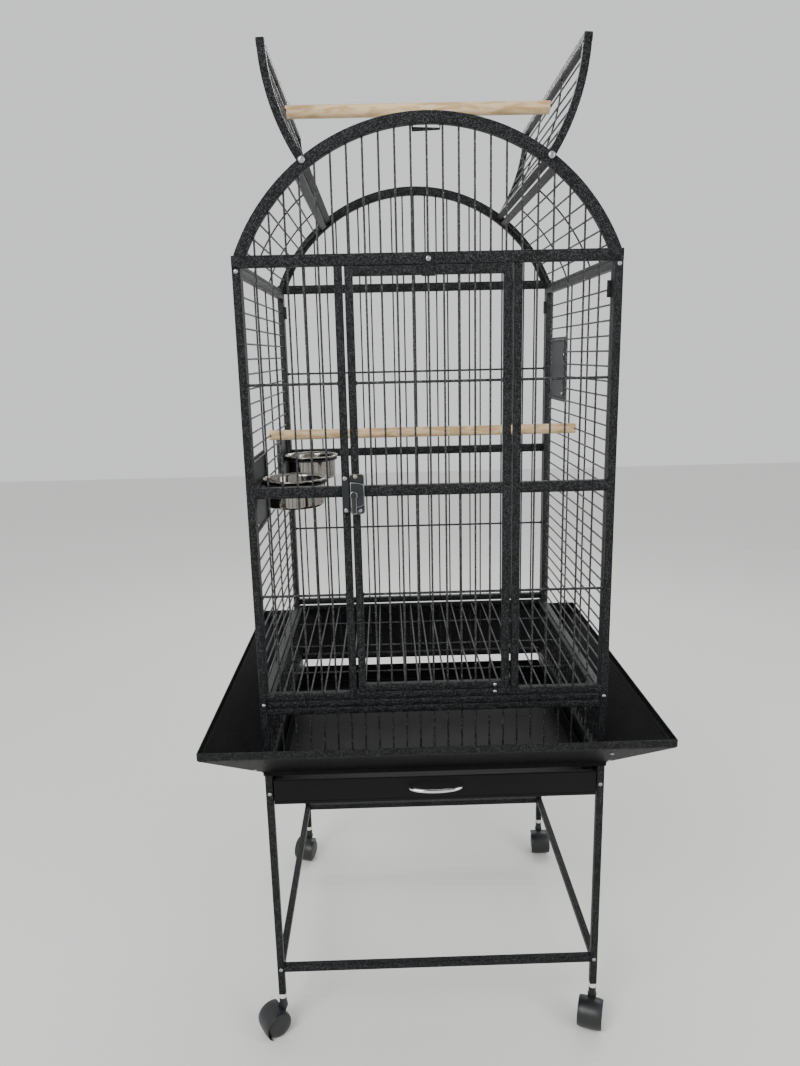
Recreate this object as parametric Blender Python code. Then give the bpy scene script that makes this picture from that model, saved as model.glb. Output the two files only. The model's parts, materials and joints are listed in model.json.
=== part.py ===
"""A play top bird cage on a wheeled stand, in metres, with +Z up.

The origin is on the floor under the middle of the cage, and the front door faces -Y.
The dome's two halves stand open as wings, with the play perch resting between them.
"""

import math

import bmesh
import bpy
from mathutils import Matrix, Vector

# Whole cage
CAGE_WIDTH = 0.600
CAGE_DEPTH = 0.555
TUBE = 0.0127
RAIL_HEIGHT = 0.018
BACK_MID_RAIL_HEIGHT = 0.0175
WELD_STEP = 0.0004
ROD_RADIUS = 0.0018
ROD_PITCH = 0.024
ROD_BITE = 0.004
GAP = 0.0003

# Heights above the floor, then the stand's and the cage's own heights
LEG_FOOT = 0.078
LOW_RAIL_TOP = 0.1392
STAND_TOP = 0.6573
STAND_FRAME_HEIGHT = 0.126
DRAWER_DROP = 0.069
GRATE_SLOT = 0.0137
MID_RAIL_RISE = 0.3525
TOP_RAIL_RISE = 0.7105
FRONT_CROSS_RISES = (0.185, 0.534)
BACK_CROSS_RISES = (0.184, 0.539)
SIDE_TOP_RAIL_DROP = 0.0113
SIDE_TOP_WIRE_DROP = 0.0282
SIDE_WIRE_PITCH = 0.0241
SIDE_UPRIGHT_INSETS = (0.0055, 0.0355)

# Arches and dome
ARCH_SPRING = 0.0095
ARCH_RISE = 0.2061
ARCH_TUBE = 0.0175
ARCH_STEPS = 26
CATCH_WIDTH = 0.045
CATCH_DROP = 0.008
CATCH_BAR = 0.0042
CATCH_DEPTH = 0.0032
PIVOT_INSET = 0.0044
PIVOT_ANGLE = math.radians(54.07)
WING_SPAN = math.radians(31.4)
WING_OPEN = math.radians(88.0)
WING_STEPS = 8
WING_SIDE_GAP = 0.0008
CURVED_BAR = 0.0032
DOME_BAR_HEIGHT = 0.006
DOME_END_BAR = 0.0042
CURVED_BAR_SHARE = 1 / 6
PIVOT_BOLT_RADIUS = 0.0025
PIVOT_HEAD_RADIUS = 0.0055
PIVOT_HEAD_HEIGHT = 0.003
PIVOT_HEAD_EDGE = 0.0012
PIVOT_HEAD_CROWN = 0.0039
BOLT_SIDES = 10

# Front door
DOOR_HALF_WIDTH = 0.129
DOOR_FRAME_GAP = 0.0035
DOOR_SILL_GAP = 0.0018
DOOR_HEAD_GAP = 0.003
DOOR_TOP_RAIL = 0.015
HINGE_X = 0.107
HINGE_PIN_RADIUS = 0.0025
HINGE_PIN_REACH = 0.009
HINGE_COLLAR_RADIUS = 0.0048
PIN_SIDES = 12
STOP_PLATE_THICKNESS = 0.0015
STOP_PLATE_RISE = 0.0165
STOP_PLATE_FOOT = 0.021
STOP_PLATE_HEAD = 0.0124

# Latch on the door's free stile
LATCH_WIDTH = 0.024
LATCH_OVERHANG = 0.0035
LATCH_HEIGHT = 0.066
LATCH_DEPTH = 0.012
LATCH_CORNER = 0.005
LATCH_RISE = 0.0055
LATCH_PIVOT_INSET = 0.007
LATCH_LEVER_LENGTH = 0.031
LATCH_LEVER_WIDTH = 0.009
LATCH_BOSS_RADIUS = 0.0065
LATCH_BOSS_START = math.radians(46)
LATCH_BOSS_STEPS = 12
LATCH_LEVER_DEPTH = 0.006
BOLT_DEPTH_SHARE = 1 / 3
BOLT_SETBACK = 0.002
BOLT_HEIGHT = 0.006
BOLT_DEPTH = 0.0036
BOLT_LENGTH = 0.019
KEEPER_WIDTH = 0.011
KEEPER_GAP = 0.001
KEEPER_HEIGHT = 0.058
KEEPER_DEPTH = 0.009

# Feeders in the side panels
FEEDER_WIDTH = 0.145
FEEDER_INSET = 0.115
FEEDER_WIRES = 5
LEFT_FEEDER_TOP_WIRE = 11
RIGHT_FEEDER_TOP_WIRE = 3
FEEDER_ROD_RADIUS = 0.002
PLATE_THICKNESS = 0.0012
PLATE_LAP = 0.006
PLATE_FOLD = 0.0042
PLATE_SETBACK = 0.0052
KNUCKLE_LENGTH = 0.010
KNUCKLE_WALL = 0.0014
BOWL_RADIUS = 0.0515
BOWL_RIM_RADIUS = 0.0575
BOWL_HEIGHT = 0.050
BOWL_WALL = 0.0009
BOWL_DROP = 0.0354
BOWL_RIM_DEPTH = 0.006
BOWL_FOOT = 0.006
BOWL_SIDES = 28
RING_CLEAR = 0.0009
RING_WIDTH = 0.004
RING_HEIGHT = 0.0045
RING_BAR_WIDTH = 0.003
RING_BAR_HEIGHT = 0.008

# Perches
PLAY_PERCH_RADIUS = 0.011
PLAY_PERCH_SHORT = 0.0005
PERCH_SEAT_SHARE = 0.25
PLAY_PERCH_Y = -0.0275
PLAY_PERCH_ROD = 6
INNER_PERCH_RADIUS = 0.0095
INNER_PERCH_WIRE = 10
INNER_PERCH_Y = -0.0085
PERCH_SIDES = 16

# Grate, drawer and its handle
GRATE_CLEAR = 0.0008
GRATE_BAR = 0.008
GRATE_HEIGHT = 0.0122
GRATE_BAYS = 4
HIDDEN_ROD_SIDES = 4
DRAWER_CLEAR = 0.002
DRAWER_WALL = 0.0015
DRAWER_HEIGHT = 0.041
DRAWER_FRONT_HEIGHT = 0.0455
RUNNER_THICKNESS = 0.0015
RUNNER_LEDGE = 0.0127
HANDLE_WIDTH = 0.097
HANDLE_RISE = 0.029
HANDLE_SAG = 0.001
HANDLE_REACH = 0.0205
HANDLE_FOOT = 0.006
HANDLE_RADIUS = 0.0032
HANDLE_STEPS = 10

# Seed guards
GUARD_REACH = 0.0915
GUARD_FOOT_DROP = 0.012
GUARD_HEIGHT = 0.093
GUARD_FLANGE = 0.0075
GUARD_LIP = 0.013
GUARD_THICKNESS = 0.0015

# Casters
WHEEL_RADIUS = 0.025
WHEEL_WIDTH = 0.0148
WHEEL_CROWN = 0.003
WHEEL_SIDES = 18
AXLE_RADIUS = 0.004
CASTER_TRAIL = 0.017
HOOD_INNER = 0.0257
HOOD_OUTER = 0.0284
HOOD_WIDTH = 0.046
HOOD_START = math.radians(-50)
HOOD_END = math.radians(115)
HOOD_STEPS = 10
WEB_WIDTH = 0.011
WEB_STEP = 0.0014
AXLE_BOSS = 0.0055
NECK_RADIUS = 0.007
NECK_SIDES = 14
SHOULDER_RADIUS = 0.0085
SHOULDER_HEIGHT = 0.0045
SHOULDER_SLOPE = 0.0035
NECK_LOW = 0.0495
STEM_RADIUS = 0.0045
STEM_LENGTH = 0.022
COLLAR_RADIUS = 0.0075
COLLAR_LOW = 0.069
COLLAR_SIDES = 16
CASTER_TURNS = {"front_left": 212.0, "front_right": 249.0, "back_left": 250.0, "back_right": 268.0}

HALF_WIDTH = CAGE_WIDTH / 2
HALF_DEPTH = CAGE_DEPTH / 2
STAND_MID_RAIL_TOP = STAND_TOP - STAND_FRAME_HEIGHT + TUBE
DRAWER_BOTTOM = STAND_MID_RAIL_TOP - DRAWER_DROP
GUARD_BOTTOM = STAND_MID_RAIL_TOP - GUARD_FOOT_DROP
GUARD_RIM = GUARD_BOTTOM + GUARD_HEIGHT
GUARD_LIP_BOTTOM = GUARD_RIM - GUARD_LIP
CAGE_SILL = STAND_TOP + GRATE_SLOT
MID_RAIL_BOTTOM = CAGE_SILL + MID_RAIL_RISE
TOP_RAIL_BOTTOM = CAGE_SILL + TOP_RAIL_RISE
FRONT_CROSS_RODS = [CAGE_SILL + rise for rise in FRONT_CROSS_RISES]
BACK_CROSS_RODS = [CAGE_SILL + rise for rise in BACK_CROSS_RISES]
SIDE_TOP_RAIL_BOTTOM = TOP_RAIL_BOTTOM - SIDE_TOP_RAIL_DROP
SIDE_TOP_WIRE = SIDE_TOP_RAIL_BOTTOM - SIDE_TOP_WIRE_DROP
DOOR_BOTTOM = CAGE_SILL + TUBE + DOOR_SILL_GAP
DOOR_TOP = TOP_RAIL_BOTTOM - DOOR_HEAD_GAP
LATCH_CENTRE = MID_RAIL_BOTTOM + LATCH_RISE
BOWL_TOP = SIDE_TOP_WIRE - LEFT_FEEDER_TOP_WIRE * SIDE_WIRE_PITCH - BOWL_DROP
# The arch's outside passes through the posts' outer faces at the springing height
ARCH_RADIUS = (HALF_WIDTH**2 + ARCH_RISE**2) / (2 * ARCH_RISE)
ARCH_CENTRE = TOP_RAIL_BOTTOM + ARCH_SPRING + ARCH_RISE - ARCH_RADIUS
PIVOT_RADIUS = ARCH_RADIUS - PIVOT_INSET
# The wings' rods lie just inside the inner face of their tubes
WING_ROD_RADIUS = PIVOT_RADIUS - TUBE / 2 + ROD_RADIUS + WELD_STEP
CENTRE = (0.0, ARCH_CENTRE)
DOOR_STILE = DOOR_HALF_WIDTH + DOOR_FRAME_GAP
FEEDER_OFFSET = HALF_DEPTH - FEEDER_INSET
FEEDER_EDGE = FEEDER_OFFSET - FEEDER_WIDTH / 2 - FEEDER_ROD_RADIUS
SIDE_UPRIGHTS = (SIDE_UPRIGHT_INSETS[0] - FEEDER_EDGE, FEEDER_EDGE - SIDE_UPRIGHT_INSETS[1])
HANDLE_HEIGHT = DRAWER_BOTTOM + HANDLE_RISE


def clear_scene():
    for thing in list(bpy.data.objects):
        bpy.data.objects.remove(thing, do_unlink=True)


def finish(name, colour, roughness, metallic):
    """A Principled material of one colour."""
    made = bpy.data.materials.new(name)
    made.use_nodes = True
    shader = made.node_tree.nodes["Principled BSDF"]
    shader.inputs["Base Color"].default_value = (*colour, 1.0)
    shader.inputs["Roughness"].default_value = roughness
    shader.inputs["Metallic"].default_value = metallic
    made.diffuse_color = (*colour, 1.0)
    return made


def between(low, high):
    return (min(low, high), max(low, high))


def polar(centre, radius, angle):
    return (centre[0] + radius * math.cos(angle), centre[1] + radius * math.sin(angle))


def turned_about(point, pivot, angle):
    """The point (x, z) turned about a pivot, counter-clockwise as seen from the front."""
    across, up = point[0] - pivot[0], point[1] - pivot[1]
    cosine, sine = math.cos(angle), math.sin(angle)
    return (pivot[0] + across * cosine - up * sine, pivot[1] + across * sine + up * cosine)


def columns(low, high):
    """The places of the rods that clear the tubes at low and high, on one shared pitch."""
    clear = ROD_RADIUS + ROD_BITE
    first = math.ceil((low + clear) / ROD_PITCH)
    last = math.floor((high - clear) / ROD_PITCH)
    return [step * ROD_PITCH for step in range(first, last + 1)]


def add_block(mesh, x, y, z):
    """A box between three pairs of limits."""
    made = bmesh.ops.create_cube(mesh, size=1.0)["verts"]
    middle = Vector([(pair[0] + pair[1]) / 2 for pair in (x, y, z)])
    sides = Vector([abs(pair[1] - pair[0]) for pair in (x, y, z)])
    bmesh.ops.transform(mesh, matrix=Matrix.LocRotScale(middle, None, sides), verts=made)


def add_rod(mesh, start, end, radius=ROD_RADIUS, sides=6):
    """A round bar between two points."""
    start, end = Vector(start), Vector(end)
    along = end - start
    made = bmesh.ops.create_cone(
        mesh, cap_ends=True, segments=sides, radius1=radius, radius2=radius, depth=along.length
    )["verts"]
    turn = along.to_track_quat("Z", "Y")
    bmesh.ops.transform(mesh, matrix=Matrix.LocRotScale((start + end) / 2, turn, None), verts=made)


def add_plate(mesh, outline, plane, low, high):
    """An outline in the XZ, YZ or XY plane, carried from low to high along the third axis."""
    spot = {
        "XZ": lambda a, b, c: (a, c, b),
        "YZ": lambda a, b, c: (c, a, b),
        "XY": lambda a, b, c: (a, b, c),
    }[plane]
    near = [mesh.verts.new(spot(a, b, low)) for a, b in outline]
    far = [mesh.verts.new(spot(a, b, high)) for a, b in outline]
    mesh.faces.new(near)
    mesh.faces.new(far[::-1])
    count = len(outline)
    for here in range(count):
        after = (here + 1) % count
        mesh.faces.new((near[after], near[here], far[here], far[after]))


def add_turned(mesh, profile, sides, matrix=None, closed=False):
    """A profile of (radius, height) points spun round Z, then moved by a matrix."""
    known = set(mesh.verts)
    line = [mesh.verts.new((radius, 0.0, height)) for radius, height in profile]
    pairs = list(zip(line, line[1:]))
    if closed:
        pairs.append((line[-1], line[0]))
    edges = [mesh.edges.new(pair) for pair in pairs]
    bmesh.ops.spin(
        mesh, geom=line + edges, cent=(0, 0, 0), axis=(0, 0, 1), angle=2 * math.pi,
        steps=sides, use_merge=True, use_duplicate=False,
    )
    bmesh.ops.remove_doubles(mesh, verts=[v for v in mesh.verts if v not in known], dist=1e-6)
    made = [v for v in mesh.verts if v not in known]
    bmesh.ops.transform(mesh, matrix=matrix or Matrix.Identity(4), verts=made)


def arc_band(centre, inner, outer, start, end, steps):
    """The outline of a curved bar: out along the outer arc and back along the inner one."""
    angles = [start + (end - start) * step / steps for step in range(steps + 1)]
    out = [polar(centre, outer, angle) for angle in angles]
    back = [polar(centre, inner, angle) for angle in reversed(angles)]
    return out + back


def place(name, mesh, material, joint=None):
    """Makes an object of a mesh built in world coordinates, on its joint's empty if it has one."""
    bmesh.ops.recalc_face_normals(mesh, faces=mesh.faces)
    if joint is not None:
        bpy.context.view_layer.update()
        bmesh.ops.transform(mesh, matrix=joint.matrix_world.inverted(), verts=mesh.verts)
    data = bpy.data.meshes.new(name)
    mesh.to_mesh(data)
    mesh.free()
    data.shade_smooth()
    data.set_sharp_from_angle(angle=math.radians(35))
    thing = bpy.data.objects.new(name, data)
    bpy.context.scene.collection.objects.link(thing)
    thing.parent = joint
    if material is not None:
        data.materials.append(material)
    return thing


def combine(thing, mesh, operation, joint=None, label="guide"):
    """A Boolean between an object and a second shape, which stays as a hidden guide."""
    guide = place(f"{thing.name}_{label}", mesh, None, joint)
    guide.hide_render = True
    guide.display_type = "WIRE"
    step = thing.modifiers.new(label.title(), "BOOLEAN")
    step.operation = operation
    step.object = guide
    step.solver = "EXACT"
    step.use_self = True


def weld(thing, mesh, joint=None, label="weld"):
    combine(thing, mesh, "UNION", joint, label)


def cut(thing, mesh, joint=None, label="cut"):
    combine(thing, mesh, "DIFFERENCE", joint, label)


def joint_at(name, location, parent=None, turn=0.0):
    """An empty on a joint's axis."""
    empty = bpy.data.objects.new(name, None)
    bpy.context.scene.collection.objects.link(empty)
    empty.parent = parent
    empty.location = location
    empty.rotation_euler = (0.0, 0.0, turn)
    empty.empty_display_size = 0.03
    return empty


def cross_layer(y_low):
    """Where the upright rods and the cross rods lie inside a panel's depth, without touching."""
    uprights = y_low + TUBE / 2 - ROD_RADIUS
    return uprights, uprights + 2 * ROD_RADIUS + GAP


def add_arch(tubes, rods, y_low):
    """An arch tube over the top rail, with its upright rods."""
    y = (y_low, y_low + TUBE)
    inner = ARCH_RADIUS - ARCH_TUBE
    foot = TOP_RAIL_BOTTOM + RAIL_HEIGHT / 2
    start = math.asin((foot - ARCH_CENTRE) / (ARCH_RADIUS - ARCH_TUBE / 2))
    outline = arc_band(CENTRE, inner, ARCH_RADIUS, start, math.pi - start, ARCH_STEPS)
    add_plate(tubes, outline, "XZ", *y)
    inset = (y[0] + WELD_STEP, y[1] - WELD_STEP)
    add_block(tubes, (-HALF_WIDTH, HALF_WIDTH), inset, (TOP_RAIL_BOTTOM, TOP_RAIL_BOTTOM + RAIL_HEIGHT))
    rail_top = TOP_RAIL_BOTTOM + RAIL_HEIGHT
    reach = math.sqrt(inner**2 - (rail_top - ARCH_CENTRE) ** 2)
    upright, _ = cross_layer(y_low)
    for x in columns(-reach, reach):
        top = ARCH_CENTRE + math.sqrt(inner**2 - x**2) + ROD_BITE
        add_rod(rods, (x, upright, rail_top - ROD_BITE), (x, upright, top))


def pivot_point(side):
    across, up = polar(CENTRE, PIVOT_RADIUS, PIVOT_ANGLE)
    return (side * across, up)


def add_pivot_holes(holes, y, radius):
    for side in (-1, 1):
        x, z = pivot_point(side)
        add_rod(holes, (x, y[0], z), (x, y[1], z), radius, BOLT_SIDES)


def front_section(side, name, material):
    """One barred side of the front: post, door stile, two rails, rods and cross rods."""
    y_low = -HALF_DEPTH
    y = (y_low, y_low + TUBE)
    inset = (y[0] + WELD_STEP, y[1] - WELD_STEP)
    top = TOP_RAIL_BOTTOM - GAP
    tubes, rods = bmesh.new(), bmesh.new()
    add_block(tubes, (side * (HALF_WIDTH - TUBE), side * HALF_WIDTH), y, (STAND_TOP + GAP, top))
    add_block(tubes, (side * DOOR_STILE, side * (DOOR_STILE + TUBE)), y, (CAGE_SILL, top))
    across = (side * (DOOR_STILE + TUBE / 2), side * (HALF_WIDTH - TUBE / 2))
    add_block(tubes, across, inset, (CAGE_SILL + WELD_STEP, CAGE_SILL + TUBE))
    add_block(tubes, across, inset, (MID_RAIL_BOTTOM, MID_RAIL_BOTTOM + RAIL_HEIGHT))
    upright, cross = cross_layer(y_low)
    low, high = between(side * (DOOR_STILE + TUBE), side * (HALF_WIDTH - TUBE))
    for x in columns(low, high):
        add_rod(rods, (x, upright, CAGE_SILL + TUBE - ROD_BITE), (x, upright, top))
    for z in FRONT_CROSS_RODS:
        add_rod(rods, (low - ROD_BITE, cross, z), (high + ROD_BITE, cross, z))
    section = place(name, tubes, material)
    weld(section, rods)


def arch_panel(name, y_low, material):
    """An arch on its top rail, with the rods between them and the holes for the wing bolts."""
    tubes, rods, holes = bmesh.new(), bmesh.new(), bmesh.new()
    add_arch(tubes, rods, y_low)
    panel = place(name, tubes, material)
    weld(panel, rods)
    add_pivot_holes(holes, (y_low - TUBE, y_low + 2 * TUBE), PIVOT_BOLT_RADIUS + GAP)
    return panel, holes


def front_arch(material):
    """The front arch, with a small staple behind its rods that the wings' hook drops into."""
    y_low = -HALF_DEPTH
    panel, holes = arch_panel("front_arch", y_low, material)
    _, cross = cross_layer(y_low)
    apex = ARCH_CENTRE + ARCH_RADIUS - ARCH_TUBE
    half = CATCH_WIDTH / 2
    low = apex - CATCH_DROP
    y = (cross - CATCH_DEPTH / 2, cross + CATCH_DEPTH / 2)
    staple = bmesh.new()
    outline = [
        (-half, low), (half, low), (half, apex + ROD_BITE), (half - CATCH_BAR, apex + ROD_BITE),
        (half - CATCH_BAR, low + CATCH_BAR), (-half + CATCH_BAR, low + CATCH_BAR),
        (-half + CATCH_BAR, apex + ROD_BITE), (-half, apex + ROD_BITE),
    ]
    add_plate(staple, outline, "XZ", *y)
    weld(panel, staple, label="staple")
    add_pin_hole(holes, TOP_RAIL_BOTTOM, 1)
    cut(panel, holes)


def add_pin_hole(hole, face, way):
    """The hole in a frame rail for the door's hinge pin, from the rail's face along Z."""
    y = -HALF_DEPTH + TUBE / 2
    end = face + way * (HINGE_PIN_REACH + 2 * GAP)
    add_rod(hole, (HINGE_X, y, face - way * TUBE), (HINGE_X, y, end), HINGE_PIN_RADIUS + GAP, PIN_SIDES)


def front_sill_rail(material):
    y = (-HALF_DEPTH + WELD_STEP, -HALF_DEPTH + TUBE - WELD_STEP)
    reach = DOOR_STILE - GAP
    mesh = bmesh.new()
    add_block(mesh, (-reach, reach), y, (CAGE_SILL, CAGE_SILL + TUBE))
    rail = place("front_sill_rail", mesh, material)
    hole = bmesh.new()
    add_pin_hole(hole, CAGE_SILL + TUBE, -1)
    cut(rail, hole)


def back_panel(material):
    """Posts, three rails, full-height rods and the back arch, welded into one."""
    y_low = HALF_DEPTH - TUBE
    y = (y_low, y_low + TUBE)
    inset = (y[0] + WELD_STEP, y[1] - WELD_STEP)
    panel, holes = arch_panel("back_panel", y_low, material)
    tubes, rods = bmesh.new(), bmesh.new()
    for side in (-1, 1):
        add_block(
            tubes, (side * (HALF_WIDTH - TUBE), side * (HALF_WIDTH - WELD_STEP)), y,
            (STAND_TOP + GAP, TOP_RAIL_BOTTOM + TUBE / 2),
        )
    across = (-HALF_WIDTH + TUBE / 2, HALF_WIDTH - TUBE / 2)
    add_block(tubes, across, inset, (CAGE_SILL, CAGE_SILL + TUBE))
    add_block(tubes, across, inset, (MID_RAIL_BOTTOM, MID_RAIL_BOTTOM + BACK_MID_RAIL_HEIGHT))
    upright, cross = cross_layer(y_low)
    inner = HALF_WIDTH - TUBE
    for x in columns(-inner, inner):
        ends = (CAGE_SILL + TUBE - ROD_BITE, TOP_RAIL_BOTTOM + ROD_BITE)
        add_rod(rods, (x, upright, ends[0]), (x, upright, ends[1]))
    for z in BACK_CROSS_RODS:
        add_rod(rods, (-inner - ROD_BITE, cross, z), (inner + ROD_BITE, cross, z))
    weld(panel, tubes, label="tubes")
    weld(panel, rods, label="rods")
    cut(panel, holes)


def wire_height(step):
    return SIDE_TOP_WIRE - step * SIDE_WIRE_PITCH


def feeders_of(side):
    """The middles (y) of a side's feeder openings and the wire that tops them."""
    if side < 0:
        return (-FEEDER_OFFSET, FEEDER_OFFSET), LEFT_FEEDER_TOP_WIRE
    return (FEEDER_OFFSET,), RIGHT_FEEDER_TOP_WIRE


def side_panel(side, name, material):
    """A square tube frame with a grid of wires, which stops at the feeder openings."""
    tubes, rods = bmesh.new(), bmesh.new()
    x = between(side * (HALF_WIDTH - TUBE), side * HALF_WIDTH)
    inset = (x[0] + WELD_STEP, x[1] - WELD_STEP)
    half = HALF_DEPTH - TUBE - GAP
    foot = STAND_TOP + GAP
    top = SIDE_TOP_RAIL_BOTTOM + TUBE
    for end in (-1, 1):
        add_block(tubes, x, between(end * (half - TUBE), end * half), (foot, top))
    across = (-half + TUBE / 2, half - TUBE / 2)
    add_block(tubes, inset, across, (foot + WELD_STEP, foot + TUBE))
    add_block(tubes, inset, across, (SIDE_TOP_RAIL_BOTTOM, top - WELD_STEP))
    grid = side * (HALF_WIDTH - TUBE / 2)
    bars = grid + side * (2 * ROD_RADIUS + GAP)
    edge = half - TUBE
    middles, top_wire = feeders_of(side)
    reach = FEEDER_WIDTH / 2 + FEEDER_ROD_RADIUS
    count = int((SIDE_TOP_WIRE - foot - TUBE - ROD_RADIUS - GAP) / SIDE_WIRE_PITCH) + 1
    for step in range(count):
        stops = [-edge - ROD_BITE, edge + ROD_BITE]
        if top_wire < step < top_wire + FEEDER_WIRES:
            for middle in middles:
                stops += [middle - reach, middle + reach]
        stops.sort()
        for start, end in zip(stops[0::2], stops[1::2]):
            add_rod(rods, (grid, start, wire_height(step)), (grid, end, wire_height(step)))
    for middle in middles:
        for end in (-1, 1):
            y = middle + end * reach
            high = wire_height(top_wire) + FEEDER_ROD_RADIUS
            low = wire_height(top_wire + FEEDER_WIRES) - FEEDER_ROD_RADIUS
            add_rod(rods, (grid, y, low), (grid, y, high), FEEDER_ROD_RADIUS)
    for y in SIDE_UPRIGHTS:
        add_rod(rods, (bars, y, foot + TUBE - ROD_BITE), (bars, y, SIDE_TOP_RAIL_BOTTOM + ROD_BITE))
    panel = place(name, tubes, material)
    weld(panel, rods)


def dome_panel(side, name, material):
    """The fixed curved panel from a side's top rail up to just below the wing's pivot."""
    half = HALF_DEPTH - TUBE - GAP
    middle = ARCH_RADIUS - ARCH_TUBE / 2
    bar_low = SIDE_TOP_RAIL_BOTTOM + TUBE + GAP
    bar_top = bar_low + DOME_BAR_HEIGHT
    start = math.asin((bar_low + DOME_BAR_HEIGHT / 2 - ARCH_CENTRE) / middle)
    corner = TUBE / math.sqrt(2)
    rail_turn = PIVOT_ANGLE - (corner + TUBE / 2 + 2 * GAP) / middle
    tubes, rods = bmesh.new(), bmesh.new()
    add_block(
        tubes, between(side * (HALF_WIDTH - TUBE + WELD_STEP), side * (HALF_WIDTH - WELD_STEP)),
        (-half, half), (bar_low, bar_top),
    )
    rail = [(middle - TUBE / 2, -TUBE / 2), (middle + TUBE / 2, -TUBE / 2),
            (middle + TUBE / 2, TUBE / 2), (middle - TUBE / 2, TUBE / 2)]
    rail = [turned_about((across, up + ARCH_CENTRE), CENTRE, rail_turn) for across, up in rail]
    add_plate(tubes, [(side * across, up) for across, up in rail], "XZ", -half, half)
    low, high = middle - DOME_END_BAR / 2, middle + DOME_END_BAR / 2
    band = arc_band(CENTRE, low, high, start, rail_turn, WING_STEPS)
    for end in (-1, 1):
        y = between(end * (half - DOME_END_BAR - WELD_STEP), end * (half - WELD_STEP))
        add_plate(tubes, [(side * across, up) for across, up in band], "XZ", *y)
    panel = place(name, tubes, material)
    length = middle * (rail_turn - start) - TUBE / 2
    for step in range(1, int(length / ROD_PITCH) + 1):
        x, z = polar(CENTRE, middle, start + step * ROD_PITCH / middle)
        reach = half - DOME_END_BAR / 2 - WELD_STEP
        add_rod(rods, (side * x, -reach, z), (side * x, reach, z), ROD_RADIUS, 6)
    outside = middle + ROD_RADIUS + GAP
    band = arc_band(CENTRE, outside, outside + CURVED_BAR, start, rail_turn, WING_STEPS)
    for third in (-1, 1):
        y = third * CAGE_DEPTH * CURVED_BAR_SHARE
        outline = [(side * across, up) for across, up in band]
        add_plate(rods, outline, "XZ", y - CURVED_BAR / 2, y + CURVED_BAR / 2)
    weld(panel, rods)


def wing(side, name, material, joint):
    """One opened half of the dome, turned out about its pivot bolts."""
    pivot = polar(CENTRE, PIVOT_RADIUS, PIVOT_ANGLE)
    half = HALF_DEPTH - TUBE - WING_SIDE_GAP
    end_turn = PIVOT_ANGLE + WING_SPAN

    def opened(outline):
        return [
            (side * across, up)
            for across, up in (turned_about(point, pivot, -WING_OPEN) for point in outline)
        ]

    def rail_at(angle):
        low, high = PIVOT_RADIUS - TUBE / 2, PIVOT_RADIUS + TUBE / 2
        square = [(low, -TUBE / 2), (high, -TUBE / 2), (high, TUBE / 2), (low, TUBE / 2)]
        return [turned_about((across, up + ARCH_CENTRE), CENTRE, angle) for across, up in square]

    tubes, rods, holes = bmesh.new(), bmesh.new(), bmesh.new()
    shrink = half - WELD_STEP
    add_plate(tubes, opened(rail_at(PIVOT_ANGLE)), "XZ", -shrink, shrink)
    add_plate(tubes, opened(rail_at(end_turn)), "XZ", -shrink, shrink)
    low, high = PIVOT_RADIUS - TUBE / 2 + WELD_STEP, PIVOT_RADIUS + TUBE / 2 - WELD_STEP
    band = opened(arc_band(CENTRE, low, high, PIVOT_ANGLE, end_turn, WING_STEPS))
    for end in (-1, 1):
        add_plate(tubes, band, "XZ", *between(end * (half - TUBE), end * half))
    reach = half - TUBE + ROD_BITE
    for step in range(1, int(WING_SPAN * PIVOT_RADIUS / ROD_PITCH) + 1):
        turn = PIVOT_ANGLE + step * ROD_PITCH / PIVOT_RADIUS
        (x, z), = opened([polar(CENTRE, WING_ROD_RADIUS, turn)])
        add_rod(rods, (x, -reach, z), (x, reach, z))
    outside = WING_ROD_RADIUS + ROD_RADIUS + GAP
    band = opened(arc_band(CENTRE, outside, outside + CURVED_BAR, PIVOT_ANGLE, end_turn, WING_STEPS))
    for third in (-1, 1):
        y = third * CAGE_DEPTH * CURVED_BAR_SHARE
        add_plate(rods, band, "XZ", y - CURVED_BAR / 2, y + CURVED_BAR / 2)
    panel = place(name, tubes, material, joint)
    weld(panel, rods, joint)
    x, z = pivot_point(side)
    for end in (-1, 1):
        y = between(end * (half - TUBE - GAP), end * (half + TUBE))
        add_rod(holes, (x, y[0], z), (x, y[1], z), PIVOT_BOLT_RADIUS + GAP, BOLT_SIDES)
    cut(panel, holes, joint)


def wing_rod_place(step):
    """Where a wing's front-to-back rod lies with the wing open, on the right-hand side."""
    pivot = polar(CENTRE, PIVOT_RADIUS, PIVOT_ANGLE)
    closed = polar(CENTRE, WING_ROD_RADIUS, PIVOT_ANGLE + step * ROD_PITCH / PIVOT_RADIUS)
    return turned_about(closed, pivot, -WING_OPEN)


def pivot_bolt(side, end, name, material):
    """A bolt through an arch into a wing's side tube, with its head outside."""
    x, z = pivot_point(side)
    face = HALF_DEPTH + GAP
    tip = HALF_DEPTH - 2 * TUBE
    profile = [
        (0.0, face + PIVOT_HEAD_HEIGHT), (PIVOT_HEAD_CROWN, face + PIVOT_HEAD_HEIGHT),
        (PIVOT_HEAD_RADIUS, face + PIVOT_HEAD_EDGE), (PIVOT_HEAD_RADIUS, face),
        (PIVOT_BOLT_RADIUS, face), (PIVOT_BOLT_RADIUS, tip), (0.0, tip),
    ]
    mesh = bmesh.new()
    turn = Matrix.Rotation(math.radians(-90 * end), 4, "X")
    add_turned(mesh, profile, BOLT_SIDES, Matrix.Translation((x, 0.0, z)) @ turn)
    place(name, mesh, material)


def door_limits():
    return (-HALF_DEPTH, -HALF_DEPTH + TUBE)


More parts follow.
